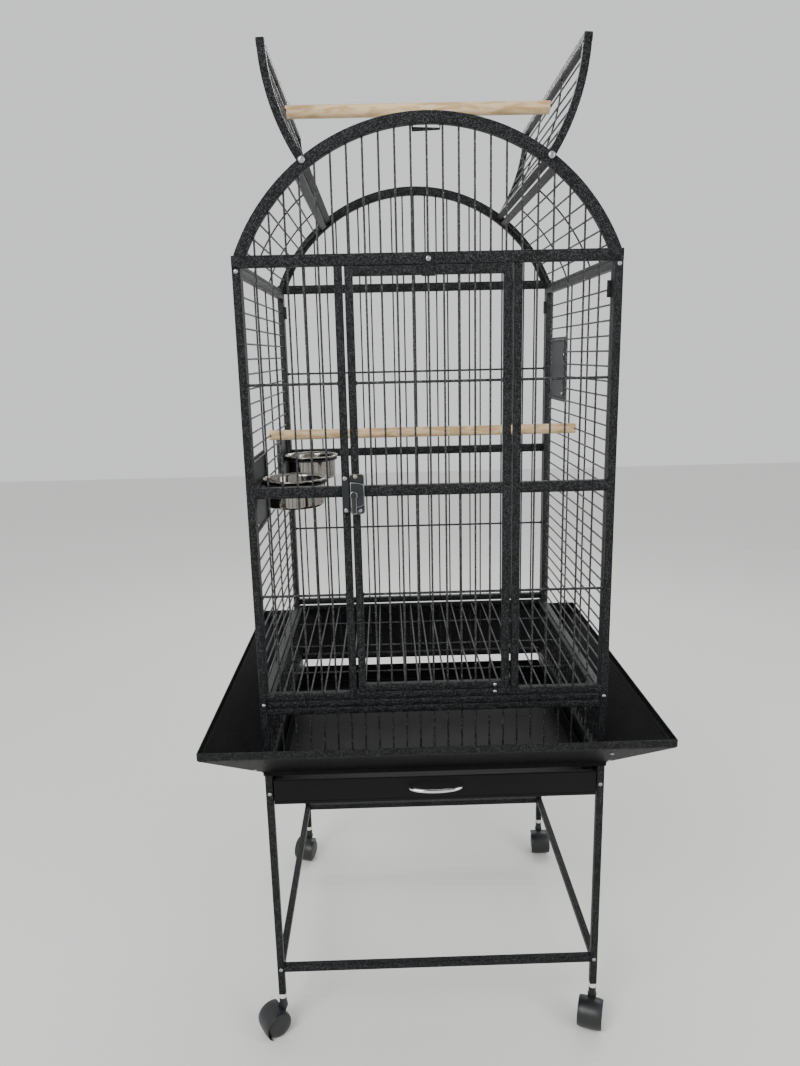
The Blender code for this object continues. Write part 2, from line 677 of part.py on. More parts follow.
def add_hinge_pin(pins, door_face, frame_face):
    """A collared pin from inside the door's rail to its hole in the frame's rail."""
    way = 1 if frame_face > door_face else -1
    collar_end = frame_face - way * GAP
    tip = frame_face + way * HINGE_PIN_REACH
    root = door_face - way * ROD_BITE
    profile = [
        (0.0, root), (HINGE_COLLAR_RADIUS, root), (HINGE_COLLAR_RADIUS, collar_end),
        (HINGE_PIN_RADIUS, collar_end), (HINGE_PIN_RADIUS, tip), (0.0, tip),
    ]
    middle = sum(door_limits()) / 2
    add_turned(pins, profile, PIN_SIDES, Matrix.Translation((HINGE_X, middle, 0.0)))


def front_door(material, joint):
    """The door's tube frame with its rods, and a hinge pin at its top and bottom."""
    y = door_limits()
    inset = (y[0] + WELD_STEP, y[1] - WELD_STEP)
    tubes, rods, pins = bmesh.new(), bmesh.new(), bmesh.new()
    for side in (-1, 1):
        add_block(
            tubes, (side * (DOOR_HALF_WIDTH - TUBE), side * DOOR_HALF_WIDTH), y, (DOOR_BOTTOM, DOOR_TOP)
        )
    inner = DOOR_HALF_WIDTH - TUBE
    across = (-inner - TUBE / 2, inner + TUBE / 2)
    add_block(tubes, across, inset, (DOOR_BOTTOM + WELD_STEP, DOOR_BOTTOM + TUBE))
    add_block(tubes, across, inset, (DOOR_TOP - DOOR_TOP_RAIL, DOOR_TOP - WELD_STEP))
    add_block(tubes, across, inset, (MID_RAIL_BOTTOM, MID_RAIL_BOTTOM + RAIL_HEIGHT))
    upright, cross = cross_layer(y[0])
    ends = (DOOR_BOTTOM + TUBE - ROD_BITE, DOOR_TOP - DOOR_TOP_RAIL + ROD_BITE)
    for x in columns(-inner, inner):
        add_rod(rods, (x, upright, ends[0]), (x, upright, ends[1]))
    for z in FRONT_CROSS_RODS:
        add_rod(rods, (-inner - ROD_BITE, cross, z), (inner + ROD_BITE, cross, z))
    add_hinge_pin(pins, DOOR_BOTTOM + WELD_STEP, CAGE_SILL + TUBE)
    add_hinge_pin(pins, DOOR_TOP - WELD_STEP, TOP_RAIL_BOTTOM)
    door = place("front_door", tubes, material, joint)
    weld(door, rods, joint, "rods")
    weld(door, pins, joint, "pins")


def stop_plate(material, joint):
    """A small tapered plate on the door's top rail, which laps the frame so the door can't swing in."""
    low = DOOR_TOP - DOOR_TOP_RAIL + GAP
    high = TOP_RAIL_BOTTOM + STOP_PLATE_RISE
    foot, head = STOP_PLATE_FOOT / 2, STOP_PLATE_HEAD / 2
    outline = [(-foot, low), (foot, low), (head, high), (-head, high)]
    mesh = bmesh.new()
    face = -HALF_DEPTH - GAP
    add_plate(mesh, outline, "XZ", face - STOP_PLATE_THICKNESS, face)
    place("door_stop_plate", mesh, material, joint)


def latch_place():
    """The latch's left edge on the door's free stile, and the face it is screwed to."""
    return -DOOR_HALF_WIDTH - LATCH_OVERHANG, -HALF_DEPTH - GAP


def bolt_limits():
    """The bolt's height and depth limits in the latch, and the same for the slot round it."""
    _, face = latch_place()
    back = face - (LATCH_DEPTH - BOLT_DEPTH) * BOLT_DEPTH_SHARE
    z = (LATCH_CENTRE - BOLT_HEIGHT / 2, LATCH_CENTRE + BOLT_HEIGHT / 2)
    y = (back - BOLT_DEPTH, back)
    return z, y, (z[0] - GAP, z[1] + GAP), (y[0] - GAP, y[1] + GAP)


def latch(body_finish, metal_finish, door_joint, lever_joint, bolt_joint):
    """Latch body, lever and sliding bolt on the door, and the keeper on the frame's stile."""
    edge, face = latch_place()
    far = edge + LATCH_WIDTH
    low, high = LATCH_CENTRE - LATCH_HEIGHT / 2, LATCH_CENTRE + LATCH_HEIGHT / 2
    bolt_z, bolt_y, slot_z, slot_y = bolt_limits()
    body, slot = bmesh.new(), bmesh.new()
    corner = LATCH_CORNER
    outline = [
        (edge, low + corner), (edge + corner, low), (far - corner, low), (far, low + corner),
        (far, high - corner), (far - corner, high), (edge + corner, high), (edge, high - corner),
    ]
    add_plate(body, outline, "XZ", face - LATCH_DEPTH, face)
    start = edge + BOLT_SETBACK
    add_block(slot, (edge - TUBE, start + BOLT_LENGTH + GAP), slot_y, slot_z)
    case = place("latch_body", body, body_finish, door_joint)
    cut(case, slot, door_joint)

    lever = bmesh.new()
    front = face - LATCH_DEPTH - GAP
    pivot = (edge + LATCH_PIVOT_INSET, LATCH_CENTRE)
    sweep = (math.pi + 2 * LATCH_BOSS_START) / LATCH_BOSS_STEPS
    turns = [step * sweep - LATCH_BOSS_START for step in range(LATCH_BOSS_STEPS + 1)]
    outline = [polar(pivot, LATCH_BOSS_RADIUS, turn) for turn in turns]
    tip = LATCH_CENTRE - LATCH_LEVER_LENGTH
    half = LATCH_LEVER_WIDTH / 2
    outline += [(pivot[0] - half, tip), (pivot[0] + half, tip)]
    add_plate(lever, outline, "XZ", front - LATCH_LEVER_DEPTH, front)
    place("latch_lever", lever, body_finish, lever_joint)

    bolt = bmesh.new()
    add_block(bolt, (start, start + BOLT_LENGTH), bolt_y, bolt_z)
    place("latch_bolt", bolt, metal_finish, bolt_joint)

    keeper, pocket = bmesh.new(), bmesh.new()
    keeper_edge = edge - KEEPER_GAP
    x = (keeper_edge - KEEPER_WIDTH, keeper_edge)
    z = (LATCH_CENTRE - KEEPER_HEIGHT / 2, LATCH_CENTRE + KEEPER_HEIGHT / 2)
    add_block(keeper, x, (face - KEEPER_DEPTH, face), z)
    add_block(pocket, (x[0] - TUBE, x[1] + TUBE), slot_y, slot_z)
    plate = place("latch_keeper", keeper, body_finish)
    cut(plate, pocket)


def feeder_hinge(side, middle):
    """A feeder door hangs on the front one of the two rods that frame its opening."""
    return (side * (HALF_WIDTH - TUBE / 2), middle - FEEDER_WIDTH / 2 - FEEDER_ROD_RADIUS)


def feeder_door(side, middle, name, material, joint):
    """A folded sheet over a feeder opening, with two knuckles round the rod it swings on."""
    axis_x, axis_y = feeder_hinge(side, middle)
    _, top_wire = feeders_of(side)
    bore = FEEDER_ROD_RADIUS + GAP
    inner = axis_x + side * (bore + GAP)
    outer = inner + side * PLATE_THICKNESS
    low = wire_height(top_wire + FEEDER_WIRES) - PLATE_LAP
    high = wire_height(top_wire) + PLATE_LAP
    free_edge = middle + FEEDER_WIDTH / 2 + 2 * FEEDER_ROD_RADIUS
    sheet, extras = bmesh.new(), bmesh.new()
    near_edge = axis_y + PLATE_SETBACK
    outline = [(near_edge, low), (free_edge, low), (free_edge, high), (near_edge, high)]
    knuckles = [wire_height(top_wire + step) - SIDE_WIRE_PITCH / 2 for step in (1, FEEDER_WIRES - 2)]
    for height in knuckles:
        top, foot = height + KNUCKLE_LENGTH / 2, height - KNUCKLE_LENGTH / 2
        outline += [(near_edge, top), (axis_y, top), (axis_y, foot), (near_edge, foot)]
    add_plate(sheet, outline, "YZ", *between(inner, outer))
    fold = between(inner + side * WELD_STEP, inner + side * PLATE_FOLD)
    add_block(
        extras, fold, (axis_y + KNUCKLE_LENGTH, free_edge - WELD_STEP),
        (low + WELD_STEP, low + WELD_STEP + PLATE_THICKNESS),
    )
    for height in knuckles:
        ends = (height - KNUCKLE_LENGTH / 2 - WELD_STEP, height + KNUCKLE_LENGTH / 2 + WELD_STEP)
        profile = [
            (bore, ends[0]), (bore + KNUCKLE_WALL, ends[0]),
            (bore + KNUCKLE_WALL, ends[1]), (bore, ends[1]),
        ]
        add_turned(extras, profile, PIN_SIDES, Matrix.Translation((axis_x, axis_y, 0.0)), closed=True)
    door = place(name, sheet, material, joint)
    weld(door, extras, joint)


def bowl_middle(side):
    return side * (HALF_WIDTH - TUBE / 2 - ROD_RADIUS - GAP - BOWL_RIM_RADIUS)


def bowl(side, y, name, material, joint):
    """A straight-sided steel bowl with a wide rim, open at the top."""
    top, wall = BOWL_TOP, BOWL_WALL
    floor = top - BOWL_HEIGHT
    belly = BOWL_RADIUS - WELD_STEP
    profile = [
        (0.0, floor), (belly - BOWL_FOOT, floor), (belly, floor + BOWL_FOOT),
        (BOWL_RADIUS, top - BOWL_RIM_DEPTH), (BOWL_RIM_RADIUS, top - BOWL_RIM_DEPTH / 2),
        (BOWL_RIM_RADIUS, top), (BOWL_RADIUS - wall, top - wall),
        (belly - wall, floor + BOWL_FOOT + wall), (belly - BOWL_FOOT - wall, floor + wall),
        (0.0, floor + wall),
    ]
    mesh = bmesh.new()
    add_turned(mesh, profile, BOWL_SIDES, Matrix.Translation((bowl_middle(side), y, 0.0)))
    place(name, mesh, material, joint)


def bowl_ring(side, y, name, material):
    """A hoop under the bowl's rim, on a bar that spans the feeder opening."""
    x = bowl_middle(side)
    top = BOWL_TOP - BOWL_RIM_DEPTH - GAP
    low = top - RING_HEIGHT
    hoop, bar = bmesh.new(), bmesh.new()
    inner = BOWL_RADIUS + RING_CLEAR
    outer = inner + RING_WIDTH
    profile = [(inner, low), (outer, low), (outer, top), (inner, top)]
    add_turned(hoop, profile, BOWL_SIDES, Matrix.Translation((x, y, 0.0)), closed=True)
    face = side * (HALF_WIDTH - TUBE / 2 - FEEDER_ROD_RADIUS - GAP)
    reach = FEEDER_WIDTH / 2 + 3 * FEEDER_ROD_RADIUS
    add_block(
        bar, (face, face - side * RING_BAR_WIDTH), (y - reach, y + reach),
        (top - WELD_STEP - RING_BAR_HEIGHT, top - WELD_STEP),
    )
    holder = place(name, hoop, material)
    weld(holder, bar)


def play_perch(material, joint):
    """The round perch whose cut ends rest on a rod of each wing."""
    x, z = wing_rod_place(PLAY_PERCH_ROD)
    seat = z + ROD_RADIUS + GAP
    middle = seat - PLAY_PERCH_RADIUS * PERCH_SEAT_SHARE
    half = x - PLAY_PERCH_SHORT
    wood, steps = bmesh.new(), bmesh.new()
    add_rod(wood, (-half, PLAY_PERCH_Y, middle), (half, PLAY_PERCH_Y, middle), PLAY_PERCH_RADIUS, PERCH_SIDES)
    for side in (-1, 1):
        start = side * (x - ROD_RADIUS - 2 * GAP)
        span = between(start, side * (half + TUBE))
        deep = 2 * PLAY_PERCH_RADIUS
        add_block(steps, span, (PLAY_PERCH_Y - deep, PLAY_PERCH_Y + deep), (middle - deep, seat))
    perch = place("play_perch", wood, material, joint)
    cut(perch, steps, joint)


def inner_perch(material):
    """The perch across the cage, its slotted ends pushed onto a wire of each side panel."""
    grid = HALF_WIDTH - TUBE / 2
    half = grid + ROD_RADIUS + GAP
    z = wire_height(INNER_PERCH_WIRE)
    wood, slots = bmesh.new(), bmesh.new()
    add_rod(wood, (-half, INNER_PERCH_Y, z), (half, INNER_PERCH_Y, z), INNER_PERCH_RADIUS, PERCH_SIDES)
    for side in (-1, 1):
        span = between(side * (grid - ROD_RADIUS - GAP), side * (half + TUBE))
        deep = 2 * INNER_PERCH_RADIUS
        slot = ROD_RADIUS + GAP
        add_block(slots, span, (INNER_PERCH_Y - deep, INNER_PERCH_Y + deep), (z - slot, z + slot))
    perch = place("inner_perch", wood, material)
    cut(perch, slots)


def floor_grate(material, joint):
    """The barred floor that pulls out through the slot under the front sill."""
    low = STAND_TOP + GAP
    high = low + GRATE_HEIGHT
    half = HALF_WIDTH - TUBE - GRATE_CLEAR
    front, back = -HALF_DEPTH + GAP, HALF_DEPTH - TUBE - GRATE_CLEAR
    bar = GRATE_BAR
    tubes, rods = bmesh.new(), bmesh.new()
    for side in (-1, 1):
        add_block(tubes, between(side * (half - bar), side * half), (front, back), (low, high))
    inset = (low + WELD_STEP, high - WELD_STEP)
    across = (-half + bar / 2, half - bar / 2)
    add_block(tubes, across, (front + WELD_STEP, front + bar), inset)
    add_block(tubes, across, (back - bar, back - WELD_STEP), inset)
    upper = high - ROD_RADIUS - GAP - WELD_STEP
    lower = upper - 2 * ROD_RADIUS - GAP
    for x in columns(-half + bar, half - bar):
        ends = (front + bar - ROD_BITE, back - bar + ROD_BITE)
        add_rod(rods, (x, ends[0], upper), (x, ends[1], upper), sides=HIDDEN_ROD_SIDES)
    reach = half - bar + ROD_BITE
    for quarter in (-1, 0, 1):
        y = quarter * CAGE_DEPTH / GRATE_BAYS
        add_rod(rods, (-reach, y, lower), (reach, y, lower), sides=HIDDEN_ROD_SIDES)
    grate = place("floor_grate", tubes, material, joint)
    weld(grate, rods, joint)


def drawer(pan_finish, handle_finish, joint):
    """An open tray with a taller front plate, and its bow handle."""
    half = HALF_WIDTH - TUBE - DRAWER_CLEAR
    plate_front = -HALF_DEPTH + GAP
    front = plate_front + DRAWER_WALL
    back = HALF_DEPTH - TUBE - DRAWER_CLEAR
    low, high = DRAWER_BOTTOM, DRAWER_BOTTOM + DRAWER_HEIGHT
    tray, hollow, plate = bmesh.new(), bmesh.new(), bmesh.new()
    side_half = half - DRAWER_WALL
    add_block(tray, (-side_half, side_half), (front - DRAWER_WALL / 2, back), (low, high))
    add_block(
        hollow, (-side_half + DRAWER_WALL, side_half - DRAWER_WALL),
        (front, back - DRAWER_WALL), (low + DRAWER_WALL, high + TUBE),
    )
    add_block(plate, (-half, half), (plate_front, front), (low, low + DRAWER_FRONT_HEIGHT))
    pan = place("drawer_pan", tray, pan_finish, joint)
    cut(pan, hollow, joint)
    weld(pan, plate, joint)

    face = plate_front - GAP
    half = HANDLE_WIDTH / 2 - HANDLE_RADIUS
    path = [(-half, face, HANDLE_HEIGHT)]
    for step in range(HANDLE_STEPS + 1):
        along = 2 * step / HANDLE_STEPS - 1
        bend = 1 - along**2
        out = HANDLE_FOOT + (HANDLE_REACH - HANDLE_FOOT) * math.sqrt(bend)
        path.append((half * along, face - out, HANDLE_HEIGHT - HANDLE_SAG * bend))
    path.append((half, face, HANDLE_HEIGHT))
    bow = bpy.data.curves.new("drawer_handle", "CURVE")
    bow.dimensions = "3D"
    bow.bevel_depth = HANDLE_RADIUS
    bow.bevel_resolution = 1
    bow.use_fill_caps = True
    line = bow.splines.new("POLY")
    line.points.add(len(path) - 1)
    for point, spot in zip(line.points, path):
        point.co = (*spot, 1.0)
    handle = bpy.data.objects.new("drawer_handle", bow)
    bpy.context.scene.collection.objects.link(handle)
    bow.materials.append(handle_finish)
    bpy.context.view_layer.update()
    bow.transform(joint.matrix_world.inverted())
    handle.parent = joint


def guard_outline():
    """The guard's folded sheet in section: (reach out from the cage, height)."""
    thick = GUARD_THICKNESS
    start = GAP
    slope = (GUARD_LIP_BOTTOM - GUARD_BOTTOM - GUARD_FLANGE) / (GUARD_REACH - thick)
    drop = thick * math.sqrt(1 + slope**2)
    return [
        (start, GUARD_BOTTOM), (start + thick, GUARD_BOTTOM),
        (start + thick, GUARD_BOTTOM + GUARD_FLANGE),
        (GUARD_REACH, GUARD_LIP_BOTTOM), (GUARD_REACH, GUARD_RIM),
        (GUARD_REACH - thick, GUARD_RIM), (GUARD_REACH - thick, GUARD_LIP_BOTTOM + drop),
        (start, GUARD_BOTTOM + GUARD_FLANGE + drop),
    ]


def seed_guard(name, across_x, side, material):
    """One of the four sloped sheets, its ends cut on the corner's mitre."""
    outline = guard_outline()
    own = HALF_DEPTH if across_x else HALF_WIDTH
    along = HALF_WIDTH if across_x else HALF_DEPTH
    mesh = bmesh.new()
    loops = []
    for end in (-1, 1):
        loop = []
        for out, z in outline:
            run = end * (along + out - GAP)
            off = side * (own + out)
            loop.append(mesh.verts.new((run, off, z) if across_x else (off, run, z)))
        loops.append(loop)
    near, far = loops
    mesh.faces.new(near)
    mesh.faces.new(far[::-1])
    count = len(outline)
    for here in range(count):
        after = (here + 1) % count
        mesh.faces.new((near[after], near[here], far[here], far[after]))
    place(name, mesh, material)


def stand_leg(side, end, name, material):
    """A leg with a round collar at its foot and a socket for the caster's stem."""
    x = side * (HALF_WIDTH - TUBE / 2)
    y = end * (HALF_DEPTH - TUBE / 2)
    leg, collar, socket = bmesh.new(), bmesh.new(), bmesh.new()
    half = TUBE / 2
    add_block(leg, (x - half, x + half), (y - half, y + half), (LEG_FOOT, STAND_TOP))
    add_rod(collar, (x, y, COLLAR_LOW), (x, y, LEG_FOOT + WELD_STEP), COLLAR_RADIUS, COLLAR_SIDES)
    top = COLLAR_LOW + STEM_LENGTH + GAP
    add_rod(socket, (x, y, COLLAR_LOW - TUBE), (x, y, top), STEM_RADIUS + GAP, PIN_SIDES)
    thing = place(name, leg, material)
    weld(thing, collar)
    cut(thing, socket)


def stand_end_frame(end, name, material):
    """The barred frame between two legs, at the front or the back."""
    y = between(end * (HALF_DEPTH - TUBE), end * HALF_DEPTH)
    half = HALF_WIDTH - TUBE - GAP
    tubes, rods = bmesh.new(), bmesh.new()
    mid_low = STAND_MID_RAIL_TOP - TUBE
    add_block(tubes, (-half, half), y, (STAND_TOP - TUBE, STAND_TOP))
    add_block(tubes, (-half, half), y, (mid_low, STAND_MID_RAIL_TOP))
    middle = (y[0] + y[1]) / 2
    ends = (STAND_MID_RAIL_TOP - ROD_BITE, STAND_TOP - TUBE + ROD_BITE)
    for x in columns(-half, half):
        add_rod(rods, (x, middle, ends[0]), (x, middle, ends[1]), sides=HIDDEN_ROD_SIDES)
    frame = place(name, tubes, material)
    weld(frame, rods)


def stand_side_frame(side, name, material):
    """The barred frame at one side."""
    x = between(side * (HALF_WIDTH - TUBE), side * HALF_WIDTH)
    half = HALF_DEPTH - TUBE - GAP
    tubes, rods = bmesh.new(), bmesh.new()
    mid_low = STAND_MID_RAIL_TOP - TUBE
    add_block(tubes, x, (-half, half), (STAND_TOP - TUBE, STAND_TOP))
    add_block(tubes, x, (-half, half), (mid_low, STAND_MID_RAIL_TOP))
    middle = (x[0] + x[1]) / 2
    ends = (STAND_MID_RAIL_TOP - ROD_BITE, STAND_TOP - TUBE + ROD_BITE)
    for y in columns(-half, half):
        add_rod(rods, (middle, y, ends[0]), (middle, y, ends[1]), sides=HIDDEN_ROD_SIDES)
    frame = place(name, tubes, material)
    weld(frame, rods)


def drawer_runner(side, name, material):
    """A folded sheet between two legs, whose ledge carries the drawer."""
    inner = side * (HALF_WIDTH - TUBE)
    outer = inner + side * (RUNNER_THICKNESS + WELD_STEP)
    half = HALF_DEPTH - TUBE - GAP
    top = STAND_MID_RAIL_TOP - TUBE - GAP
    ledge = DRAWER_BOTTOM - GAP
    outline = [
        (inner - side * RUNNER_LEDGE, ledge - RUNNER_THICKNESS), (outer, ledge - RUNNER_THICKNESS),
        (outer, top), (outer - side * RUNNER_THICKNESS, top), (outer - side * RUNNER_THICKNESS, ledge),
        (inner - side * RUNNER_LEDGE, ledge),
    ]
    mesh = bmesh.new()
    add_plate(mesh, outline, "XZ", -half, half)
    place(name, mesh, material)


def low_rail(name, along_x, side, material):
    """A rail low down between two legs."""
    z = (LOW_RAIL_TOP - TUBE, LOW_RAIL_TOP)
    mesh = bmesh.new()
    if along_x:
        half = HALF_WIDTH - TUBE - GAP
        add_block(mesh, (-half, half), between(side * (HALF_DEPTH - TUBE), side * HALF_DEPTH), z)
    else:
        half = HALF_DEPTH - TUBE - GAP
        add_block(mesh, between(side * (HALF_WIDTH - TUBE), side * HALF_WIDTH), (-half, half), z)
    place(name, mesh, material)


def caster(corner, side, end, material):
    """A hood with its stem, on a joint under the leg, and two wheels on one axle."""
    stem = (side * (HALF_WIDTH - TUBE / 2), end * (HALF_DEPTH - TUBE / 2), 0.0)
    turn = math.radians(CASTER_TURNS[corner])
    axle = WHEEL_RADIUS * math.cos(math.pi / WHEEL_SIDES)
    swivel = joint_at(f"{corner}_swivel", stem, None, turn)
    spin = joint_at(f"{corner}_spin", (CASTER_TRAIL, 0.0, axle), swivel)
    to_world = Matrix.Translation(stem) @ Matrix.Rotation(turn, 4, "Z")
    middle = (CASTER_TRAIL, axle)

    hood, web, neck, hole = bmesh.new(), bmesh.new(), bmesh.new(), bmesh.new()
    band = arc_band(middle, HOOD_INNER, HOOD_OUTER, HOOD_START, HOOD_END, HOOD_STEPS)
    add_plate(hood, band, "XZ", -HOOD_WIDTH / 2, HOOD_WIDTH / 2)
    inside = (HOOD_INNER + HOOD_OUTER) / 2
    step = (HOOD_END - HOOD_START) / HOOD_STEPS
    outline = [polar(middle, inside, HOOD_START + step * turn_at) for turn_at in range(HOOD_STEPS + 1)]
    outline.append((-NECK_RADIUS, NECK_LOW + WEB_STEP))
    boss = AXLE_RADIUS + AXLE_BOSS
    outline += [polar(middle, boss, math.pi * (1 + quarter / 4)) for quarter in range(4)]
    add_plate(web, outline, "XZ", -WEB_WIDTH / 2, WEB_WIDTH / 2)
    neck_top = COLLAR_LOW - GAP
    shoulder = NECK_LOW + SHOULDER_HEIGHT
    profile = [
        (0.0, NECK_LOW), (SHOULDER_RADIUS, NECK_LOW), (SHOULDER_RADIUS, shoulder),
        (NECK_RADIUS, shoulder + SHOULDER_SLOPE), (NECK_RADIUS, neck_top), (STEM_RADIUS, neck_top),
        (STEM_RADIUS, COLLAR_LOW + STEM_LENGTH), (0.0, COLLAR_LOW + STEM_LENGTH),
    ]
    add_turned(neck, profile, NECK_SIDES)
    reach = HOOD_WIDTH
    add_rod(hole, (CASTER_TRAIL, -reach, axle), (CASTER_TRAIL, reach, axle), AXLE_RADIUS + GAP, PIN_SIDES)
    for mesh in (hood, web, neck, hole):
        bmesh.ops.transform(mesh, matrix=to_world, verts=mesh.verts)
    body = place(f"caster_hood_{corner}", hood, material, swivel)
    weld(body, web, swivel, "web")
    weld(body, neck, swivel, "neck")
    cut(body, hole, swivel)

    wheels = bmesh.new()
    near = WEB_WIDTH / 2 + 2 * GAP
    far = near + WHEEL_WIDTH
    rim, crown = WHEEL_RADIUS, WHEEL_CROWN
    profile = [
        (0.0, -far), (rim - crown, -far), (rim, crown - far), (rim, -near), (AXLE_RADIUS, -near),
        (AXLE_RADIUS, near), (rim, near), (rim, far - crown), (rim - crown, far), (0.0, far),
    ]
    lie = Matrix.Translation((CASTER_TRAIL, 0.0, axle)) @ Matrix.Rotation(math.radians(90), 4, "X")
    add_turned(wheels, profile, WHEEL_SIDES, to_world @ lie)
    place(f"caster_wheels_{corner}", wheels, material, spin)


def build():
    clear_scene()
    hammer = finish("hammered_black", (0.045, 0.048, 0.052), 0.42, 0.55)
    satin = finish("satin_black", (0.012, 0.012, 0.013), 0.38, 0.1)
    grey = finish("dark_grey", (0.07, 0.075, 0.08), 0.45, 0.3)
    pine = finish("pale_pine", (0.72, 0.55, 0.36), 0.62, 0.0)
    steel = finish("polished_steel", (0.75, 0.75, 0.76), 0.12, 1.0)
    zinc = finish("zinc", (0.62, 0.63, 0.65), 0.3, 1.0)
    plastic = finish("black_plastic", (0.015, 0.015, 0.017), 0.4, 0.0)
    gloss = finish("gloss_black", (0.01, 0.01, 0.012), 0.15, 0.2)
    sides = {"left": -1, "right": 1}
    ends = {"front": -1, "back": 1}

    front_arch(hammer)
    front_sill_rail(hammer)
    back_panel(hammer)
    for word, side in sides.items():
        front_section(side, f"front_{word}_section", hammer)
        side_panel(side, f"{word}_side_panel", hammer)
        dome_panel(side, f"{word}_dome_panel", grey)
        x, z = pivot_point(side)
        wing(side, f"{word}_play_wing", hammer, joint_at(f"{word}_wing_pivot", (x, 0.0, z)))
        for place_word, end in ends.items():
            pivot_bolt(side, end, f"wing_bolt_{place_word}_{word}", zinc)

    hinge = joint_at("front_door_hinge", (HINGE_X, sum(door_limits()) / 2, DOOR_BOTTOM))
    front_door(hammer, hinge)
    stop_plate(hammer, hinge)
    edge, face = latch_place()
    bpy.context.view_layer.update()
    pivot = Vector((edge + LATCH_PIVOT_INSET, face - LATCH_DEPTH, LATCH_CENTRE))
    spot = hinge.matrix_world.inverted() @ pivot
    lever_joint = joint_at("latch_lever_pivot", spot, hinge)
    latch(gloss, zinc, hinge, lever_joint, joint_at("latch_bolt_slide", spot, hinge))

    for word, side in sides.items():
        for middle in feeders_of(side)[0]:
            label = f"{word}_back" if middle > 0 else f"{word}_front"
            hang = joint_at(f"{label}_feeder_hinge", (*feeder_hinge(side, middle), 0.0))
            feeder_door(side, middle, f"feeder_door_{label}", grey, hang)
            if side < 0:
                bowl_ring(side, middle, f"bowl_ring_{label}", hammer)
                lift = joint_at(f"{label}_bowl_lift", (bowl_middle(side), middle, BOWL_TOP))
                bowl(side, middle, f"feeder_bowl_{label}", steel, lift)

    perch_height = wing_rod_place(PLAY_PERCH_ROD)[1]
    play_perch(pine, joint_at("play_perch_lift", (0.0, PLAY_PERCH_Y, perch_height)))
    inner_perch(pine)
    floor_grate(hammer, joint_at("grate_slide", (0.0, -HALF_DEPTH, STAND_TOP)))
    drawer(satin, steel, joint_at("drawer_slide", (0.0, -HALF_DEPTH, DRAWER_BOTTOM)))

    for word, end in ends.items():
        seed_guard(f"seed_guard_{word}", True, end, satin)
        stand_end_frame(end, f"stand_frame_{word}", hammer)
        low_rail(f"low_rail_{word}", True, end, hammer)
    for word, side in sides.items():
        seed_guard(f"seed_guard_{word}", False, side, satin)
        stand_side_frame(side, f"stand_frame_{word}", hammer)
        drawer_runner(side, f"drawer_runner_{word}", hammer)
        low_rail(f"low_rail_{word}", False, side, hammer)
        for place_word, end in ends.items():
            corner = f"{place_word}_{word}"
            stand_leg(side, end, f"stand_leg_{corner}", hammer)
            caster(corner, side, end, plastic)


build()
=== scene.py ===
# %% [markdown]
# A play top bird cage
#
# The cage is welded from half inch square tube and thin round rods, and painted
# with a hammered black finish. Its arched top opens into two wings with a perch
# between them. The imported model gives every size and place, and this lesson
# dresses it: rounded tubes, round rods, sheet metal, screws, wood and steel.

# %% Load the fixed frame
import json
import math

import bmesh
import bpy
from mathutils import Matrix, Vector


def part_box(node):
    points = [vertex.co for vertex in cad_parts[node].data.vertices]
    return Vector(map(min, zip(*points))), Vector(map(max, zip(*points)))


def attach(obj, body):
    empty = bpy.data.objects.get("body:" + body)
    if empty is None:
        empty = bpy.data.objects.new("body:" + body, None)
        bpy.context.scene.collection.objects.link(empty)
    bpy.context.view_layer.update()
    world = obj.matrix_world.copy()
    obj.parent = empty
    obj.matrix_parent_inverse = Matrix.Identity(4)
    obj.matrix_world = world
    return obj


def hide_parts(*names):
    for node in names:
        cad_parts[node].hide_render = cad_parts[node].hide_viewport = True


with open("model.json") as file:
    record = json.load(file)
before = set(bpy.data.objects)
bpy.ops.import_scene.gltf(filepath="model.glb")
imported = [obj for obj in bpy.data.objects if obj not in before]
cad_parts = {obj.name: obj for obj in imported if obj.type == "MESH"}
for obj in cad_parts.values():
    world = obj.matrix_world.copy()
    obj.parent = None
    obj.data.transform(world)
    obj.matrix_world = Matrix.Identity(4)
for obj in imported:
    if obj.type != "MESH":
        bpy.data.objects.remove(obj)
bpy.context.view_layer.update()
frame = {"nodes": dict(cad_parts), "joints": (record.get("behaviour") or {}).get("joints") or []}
joint_place = {joint["name"]: joint.get("pos_m") for joint in frame["joints"]}

# %% [markdown]
# The camera stands where the photo was taken from: a little left of the middle,
# about 1.25 m up and looking slightly down, with a wide lens. A camera with a
# real lens and no shift gives the same leaning verticals as the photo.

# %% Camera
CAMERA_PLACE = (-0.0711, -1.5491, 1.2481)
CAMERA_YAW = math.radians(0.8345)
CAMERA_PITCH = math.radians(-12.6835)
CAMERA_ROLL = math.radians(1.3093)
PHOTO_HEIGHT = 1066
FOCAL_PIXELS = 794.3
SENSOR = 36.0

forward = Vector((
    math.sin(CAMERA_YAW) * math.cos(CAMERA_PITCH),
    math.cos(CAMERA_YAW) * math.cos(CAMERA_PITCH),
    math.sin(CAMERA_PITCH),
))
level_right = Vector((math.cos(CAMERA_YAW), -math.sin(CAMERA_YAW), 0.0))
level_down = forward.cross(level_right)
right = level_right * math.cos(CAMERA_ROLL) + level_down * math.sin(CAMERA_ROLL)
down = level_down * math.cos(CAMERA_ROLL) - level_right * math.sin(CAMERA_ROLL)
lens = bpy.data.cameras.new("photo_camera")
lens.sensor_fit = "AUTO"
lens.sensor_width = SENSOR
lens.lens = FOCAL_PIXELS / PHOTO_HEIGHT * SENSOR
camera = bpy.data.objects.new("photo_camera", lens)
camera.matrix_world = Matrix.Translation(CAMERA_PLACE) @ Matrix((
    (right.x, -down.x, -forward.x, 0.0),
    (right.y, -down.y, -forward.y, 0.0),
    (right.z, -down.z, -forward.z, 0.0),
    (0.0, 0.0, 0.0, 1.0),
))
bpy.context.scene.collection.objects.link(camera)
